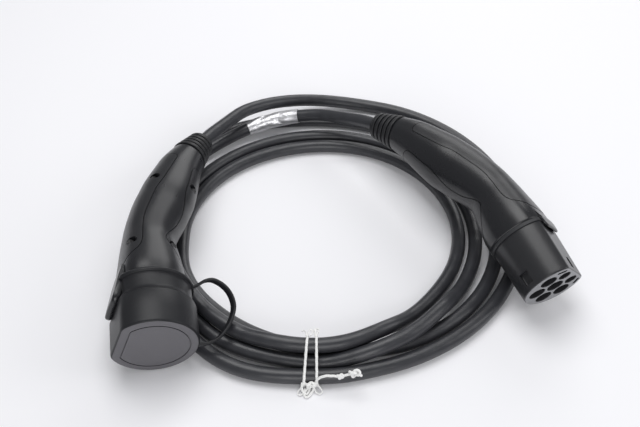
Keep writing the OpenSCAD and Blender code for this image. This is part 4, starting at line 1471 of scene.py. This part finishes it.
    def hull(self, angle: float, lift: float) -> Array:
        """Tight loop round the turns at one angle.

        For each direction the farthest point of all circles is kept, which gives the convex
        outline, and the part under the floor is raised to it.

        Args:
            angle: Angle round the coil in degrees.
            lift: Distance of the string's middle from the cable.

        Returns:
            Closed loop of [radius, height].
        """
        spots = self.section(angle)
        t = np.linspace(0, 2 * np.pi, 720, endpoint=False)
        way = np.column_stack([np.cos(t), np.sin(t)])
        best = spots[np.argmax(way @ spots.T, axis=1)]
        loop = best + way * (self.radius + lift)
        loop[:, 1] = np.maximum(loop[:, 1], self.tie_r)
        return loop

    def at_angle(self, angle: Array, flat: Array) -> Array:
        """Points of [radius, height] at angles round the coil, in the shared frame."""
        return self.polar(np.column_stack([angle, flat]))

    def strand(self, name: str, points: Array, radius: float, seed: int) -> bpy.types.Object:
        """String along points: three plies that wind round, with a slightly uneven thickness."""
        path = softened(evenly(points, self.tie_step), 1.6)
        t = np.linspace(0, 2 * np.pi, self.tie_around, endpoint=False)
        run = np.arange(len(path)) * self.tie_step
        wind = 0.1 * np.cos(3 * t[None] - run[:, None] * 2 * np.pi / self.ply_pitch)
        uneven = 0.05 * noise_along(len(path), seed, 6)[:, None]
        return tube(name, path, radius * (1 + wind + uneven), self.tie_around, turning_frame(path), 70)

    def build_tie(self) -> bpy.types.Object:
        """String tied round the coil: two loops, ends on top, a knot with loops in front, a tail."""
        parts = []
        for k, (top, low) in enumerate(((-1.5, -1.35), (1.5, 2.2))):
            loop = self.hull(self.tie_angle + top, self.tie_r * 0.8)
            share = np.clip((loop[:, 0] - loop[:, 0].min()) / np.ptp(loop[:, 0]), 0, 1)
            turn = self.tie_angle + top + (low - top) * share
            ring = self.at_angle(turn, loop)
            ring = evenly(np.vstack([ring, ring[:1]]), self.tie_step)
            parts.append(self.ring_strand(f"string_loop_{k}", ring, 5 + k))
        outer = self.at_angle(np.array([self.tie_angle]), self.front_spot())[0]
        inner = self.at_angle(np.array([self.tie_angle]), self.top_spot())[0]
        for k, points in enumerate(self.curls(outer, inner)):
            thin = 0.62 if 1 < k < 8 else 0.92
            parts.append(self.strand(f"string_curl_{k}", points, self.tie_r * thin, 20 + k))
        parts += self.knots(outer)
        tie = joined("packing_string", parts)
        return register(tie, Finish.STRING, "string", "coil_tie")

    def ring_strand(self, name: str, ring: Array, waves: int) -> bpy.types.Object:
        """Closed loop of string, carried once round its ring.

        Args:
            name: Name of the piece.
            ring: Closed line with even steps, whose last point is its first again.
            waves: How often its thickness swells on the way round.

        Returns:
            The new object.
        """
        path = ring[:-1]
        t = np.linspace(0, 2 * np.pi, self.tie_around, endpoint=False)
        once = np.arange(len(path)) * 2 * np.pi / len(path)
        plies = round(len(path) * self.tie_step / self.ply_pitch)
        wind = 0.1 * np.cos(3 * t[None] - once[:, None] * plies)
        uneven = 0.04 * np.sin(once * waves)[:, None]
        obj = hoop(name, path, self.tie_r * (1 + wind + uneven), self.tie_around)
        unwrap(obj, np.arange(len(path)) * self.tie_step * MM, self.tie_around)
        return obj

    def front_spot(self) -> Array:
        """Outermost point of the tied bundle, low on its front."""
        spots = self.section(self.tie_angle)
        return np.array([[spots[:, 0].max() + self.radius + 0.8, self.radius * 0.9]])

    def top_spot(self) -> Array:
        """Highest inner point of the tied bundle."""
        spots = self.section(self.tie_angle)
        high = spots[np.argmax(spots[:, 1])]
        return np.array([[high[0] - 3.0, high[1] + self.radius + 0.4]])

    def curls(self, outer: Array, inner: Array) -> list[Array]:
        """Loose lines of string near the knot, drawn from it in millimetres.

        Args:
            outer: Point on the bundle's front.
            inner: Point on the bundle's top.

        Returns:
            One list of points for each line.
        """
        front = [
            [[-6, 0.5, 2], [-6.5, -2.5, -1], [-6, -5, -4], [-3.5, -8.5, -4.8], [-1, -8, -4.6],
             [0.5, -3.5, -3.5], [1.5, -0.6, 0]],
            [[6.5, 0.5, 3], [5.2, -2.0, -1], [3.5, -4.5, -4.4], [1.0, -9.5, -4.8], [-2.2, -12.5, -4.8],
             [-4.6, -9.0, -4.7], [-2.5, -4.5, -4], [0.5, -0.8, -1]],
            [[7, 0, 2], [10.5, -2.6, -2.5], [12.6, -5.6, -4.9], [10.0, -8.2, -5.2], [6.6, -6.0, -5.1],
             [5.2, -2.4, -3]],
            [[-4, 0.4, 0], [-8.4, -3.0, -4.2], [-10.6, -6.8, -5.2], [-8.0, -9.8, -5.2], [-5.0, -6.4, -5.1],
             [-3.4, -2.4, -3]]]
        top = [
            [[-4.5, 0, 0.4], [-4.8, 2.8, 1.6], [-5.6, 6.2, 1.4], [-7.6, 8.8, 0.4], [-9.0, 7.6, 0.2]],
            [[-4.0, 0, 0.4], [-3.2, 3.2, 2.4], [-2.2, 6.6, 2.8], [0.8, 7.4, 2.6], [1.0, 4.6, 1.6],
             [-1.4, 1.4, 0.6]],
            [[3.4, 0, 0.4], [3.6, 3.4, 2.2], [2.6, 7.0, 2.6], [4.6, 9.8, 2.0], [7.2, 9.0, 1.2]],
            [[3.8, 0, 0.4], [5.4, 2.8, 1.8], [6.2, 5.8, 1.8], [4.2, 7.6, 2.2], [2.6, 4.8, 2.0],
             [3.4, 1.0, 0.8]]]
        lines = []
        for base, group in ((outer, front), (inner, top)):
            for drawn in group:
                points = base + np.array(drawn, dtype=float) * self.curl_size
                points[:, 2] = np.maximum(points[:, 2], self.tie_r)
                lines.append(catmull(points, np.linspace(0, len(points) - 1, 24 * len(points))))
        tail = outer + np.array([[5.5, 0.4, 4], [9, 0.4, 8.5], [13, 0.6, 10.2], [18, 0.4, 10.6],
                                 [23, 0.1, 10.4], [28, 0.2, 11.6], [33, 0.4, 13.2]])
        return lines + [catmull(tail, np.linspace(0, len(tail) - 1, 160))]

    def knots(self, outer: Array) -> list[bpy.types.Object]:
        """Overhand knots: at the bundle's front, and at the tail's end, as tightly wound lines.

        The line is a trefoil: (sin t + 2 sin 2t, cos t - 2 cos 2t, -sin 3t).

        Args:
            outer: Point on the bundle's front.

        Returns:
            The knots and the tail's loose end.
        """
        parts = []
        t = np.linspace(0, 2 * np.pi, 160)
        places = (([0.5, -1.2, 0.5], 1.25, 1.1), ([35.5, 0.2, 14.2], 1.5, 1.5), ([24.5, 0.0, 10.4], 0.9, 0.9))
        for k, (at, size, tall) in enumerate(places):
            line = np.column_stack([(np.sin(t) + 2 * np.sin(2 * t)) * size, -np.sin(3 * t) * tall,
                                    (np.cos(t) - 2 * np.cos(2 * t)) * size * 0.85])
            points = outer + np.array(at) + line
            parts.append(self.strand(f"string_knot_{k}", points, self.tie_r * 0.95, 40 + k))
        ends = outer + np.array([[35.5, 0.3, 14.0], [38.5, 0.0, 13.2], [41.2, -0.4, 11.6]])
        parts.append(self.strand("string_end", ends, self.tie_r, 50))
        return parts


def joined(name: str, parts: list[bpy.types.Object]) -> bpy.types.Object:
    """Join objects that all sit at the origin into one.

    Args:
        name: Name of the joined piece.
        parts: Objects, which are used up.

    Returns:
        The first object, with every mesh in it.
    """
    with bpy.context.temp_override(active_object=parts[0], selected_objects=parts,
                                   selected_editable_objects=parts, object=parts[0]):
        bpy.ops.object.join()
    parts[0].name = name
    parts[0].data.name = name
    return parts[0]


# Stage, lights and camera

@dataclass
class Studio:
    """Plain pale floor, soft even light and the photograph's camera."""

    camera_at: tuple[float, float, float] = (-23.1, -546.7, 589.0)
    pitch: float = 45.57
    lens: float = 50.0
    sensor: float = 36.0
    floor_colour: Colour = (0.87, 0.87, 0.895)
    floor_glow: float = 0.055
    floor_flat: float = 1500.0
    floor_around: int = 96
    sky_colour: Colour = (0.97, 0.975, 1.0)
    sky: float = 0.26
    key: float = 4.4
    lamps: tuple[tuple[str, tuple[float, float, float], float, float], ...] = (
        ("soft_box_top", (-0.15, 0.35, 1.5), 1.1, 3.2), ("soft_box_back", (0.5, 1.5, 0.9), 1.0, 1.6),
        ("soft_box_side", (1.5, -0.1, 0.9), 0.9, 1.2), ("soft_box_front", (0.1, -1.7, 0.75), 1.0, 2.6))

    def build_camera(self) -> None:
        """Camera above the front of the coil, tilted down and not turned."""
        data = bpy.data.cameras.new("photo_camera")
        data.lens, data.sensor_width, data.clip_start = self.lens, self.sensor, 0.01
        camera = bpy.data.objects.new("photo_camera", data)
        camera.location = Vector(self.camera_at) * MM
        camera.rotation_euler = (math.radians(self.pitch), 0, 0)
        bpy.context.scene.collection.objects.link(camera)
        bpy.context.scene.camera = camera

    def build_floor(self) -> None:
        """Wide matt floor that is flat out to floor_flat and falls from there on as d^2 / 90000.

        Its top lies a hair under the object's lowest point.
        """
        around = self.floor_around
        t = np.linspace(0, 2 * np.pi, around, endpoint=False)
        radii = np.r_[50, 200, 450, 800, 1500, 3000, 6000]
        drop = -np.maximum(0, radii - self.floor_flat) ** 2 / 90000.0
        rings = np.stack([radii[:, None] * np.cos(t), radii[:, None] * np.sin(t),
                          np.broadcast_to(drop[:, None], (len(radii), around))], axis=-1)
        points = rings.reshape(-1, 3) + [0, 0, -0.05]
        faces = grid_faces(len(radii), around)[:, ::-1].tolist() + [list(range(around))]
        mesh = bpy.data.meshes.new("pale_floor")
        mesh.from_pydata((points * MM).tolist(), [], faces)
        floor = bpy.data.objects.new("pale_floor", mesh)
        bpy.context.scene.collection.objects.link(floor)
        mesh.polygons.foreach_set("use_smooth", np.ones(len(mesh.polygons), dtype=bool))
        paint = PaleFloor("floor_paint", self.floor_colour, self.floor_glow)
        floor.data.materials.append(paint.material())

    def lamp(self, name: str, at: tuple[float, float, float], size: float, power: float) -> None:
        """Add one large soft lamp that points at the origin.

        Args:
            name: Name of the lamp.
            at: Its place in metres.
            size: Side of its square in metres.
            power: Its power in watts.
        """
        data = bpy.data.lights.new(name, "AREA")
        data.size, data.energy = size, power
        lamp = bpy.data.objects.new(name, data)
        lamp.location = at
        lamp.rotation_euler = (-Vector(at)).to_track_quat("-Z", "Y").to_euler()
        bpy.context.scene.collection.objects.link(lamp)

    def build_lights(self) -> None:
        """Pale sky all round, a broad soft box overhead and weaker ones on three sides."""
        world = bpy.data.worlds.new("pale_sky")
        world.use_nodes = True
        sky = world.node_tree.nodes["Background"]
        sky.inputs["Color"].default_value = (*self.sky_colour, 1.0)
        sky.inputs["Strength"].default_value = self.sky
        bpy.context.scene.world = world
        for name, at, size, share in self.lamps:
            self.lamp(name, at, size, self.key * share)


PIN_FINISHES = {f"{kind}_{line}": Finish.METAL for kind in ("contact", "pin")
                for line in ("pe", "l1", "l2", "l3", "n", "cp", "pp")}
SHARED = {**PIN_FINISHES, "contact_carrier": Finish.INNER, "coding_resistor": Finish.RESISTOR,
          "cores": Finish.CORES, "cable_clamp": Finish.INNER, "screws": Finish.SCREW}


def main() -> None:
    """Build the camera and cable first, then both handsets, and report each piece."""
    logging.basicConfig(level=logging.INFO, format="%(message)s")
    bpy.context.scene.view_settings.view_transform = "Standard"
    studio = Studio()
    studio.build_camera()
    studio.build_floor()
    studio.build_lights()
    plug = Plug("plug", Place((-154.0, -127.0, 36.64), (-80, 6, 69.5)),
                Lip(22.5, 27.3, 25.4, 7.0), (-147.0, -3.0))
    connector = Connector("connector", Place((170.0, -67.0, 35.44), (-66, 13, -49.5)),
                          Lip(8.5, 24.9, 22.5, 2.4), (-146.0, 7.5))
    cable = Cable(plug, connector)
    cord = cable.build()
    label, tie = cable.build_label(), cable.build_tie()
    path = cable.centre_line
    tuple(cable.end(plug, 0) * MM)
    for handset in (plug, connector):
        handset.build_shell()
        handset.build_lip()
        handset.build_boot()
        handset.dress_nodes(SHARED)
    connector.build_nose()
    connector.dress_nodes({"seal": Finish.SEAL})
    plug.build_cap()
    plug.build_collar()
    plug.build_strap()
    plug.dress_nodes({"sleeve": Finish.SHELL, "insert": Finish.INSERT})


if __name__ == "__main__":
    main()
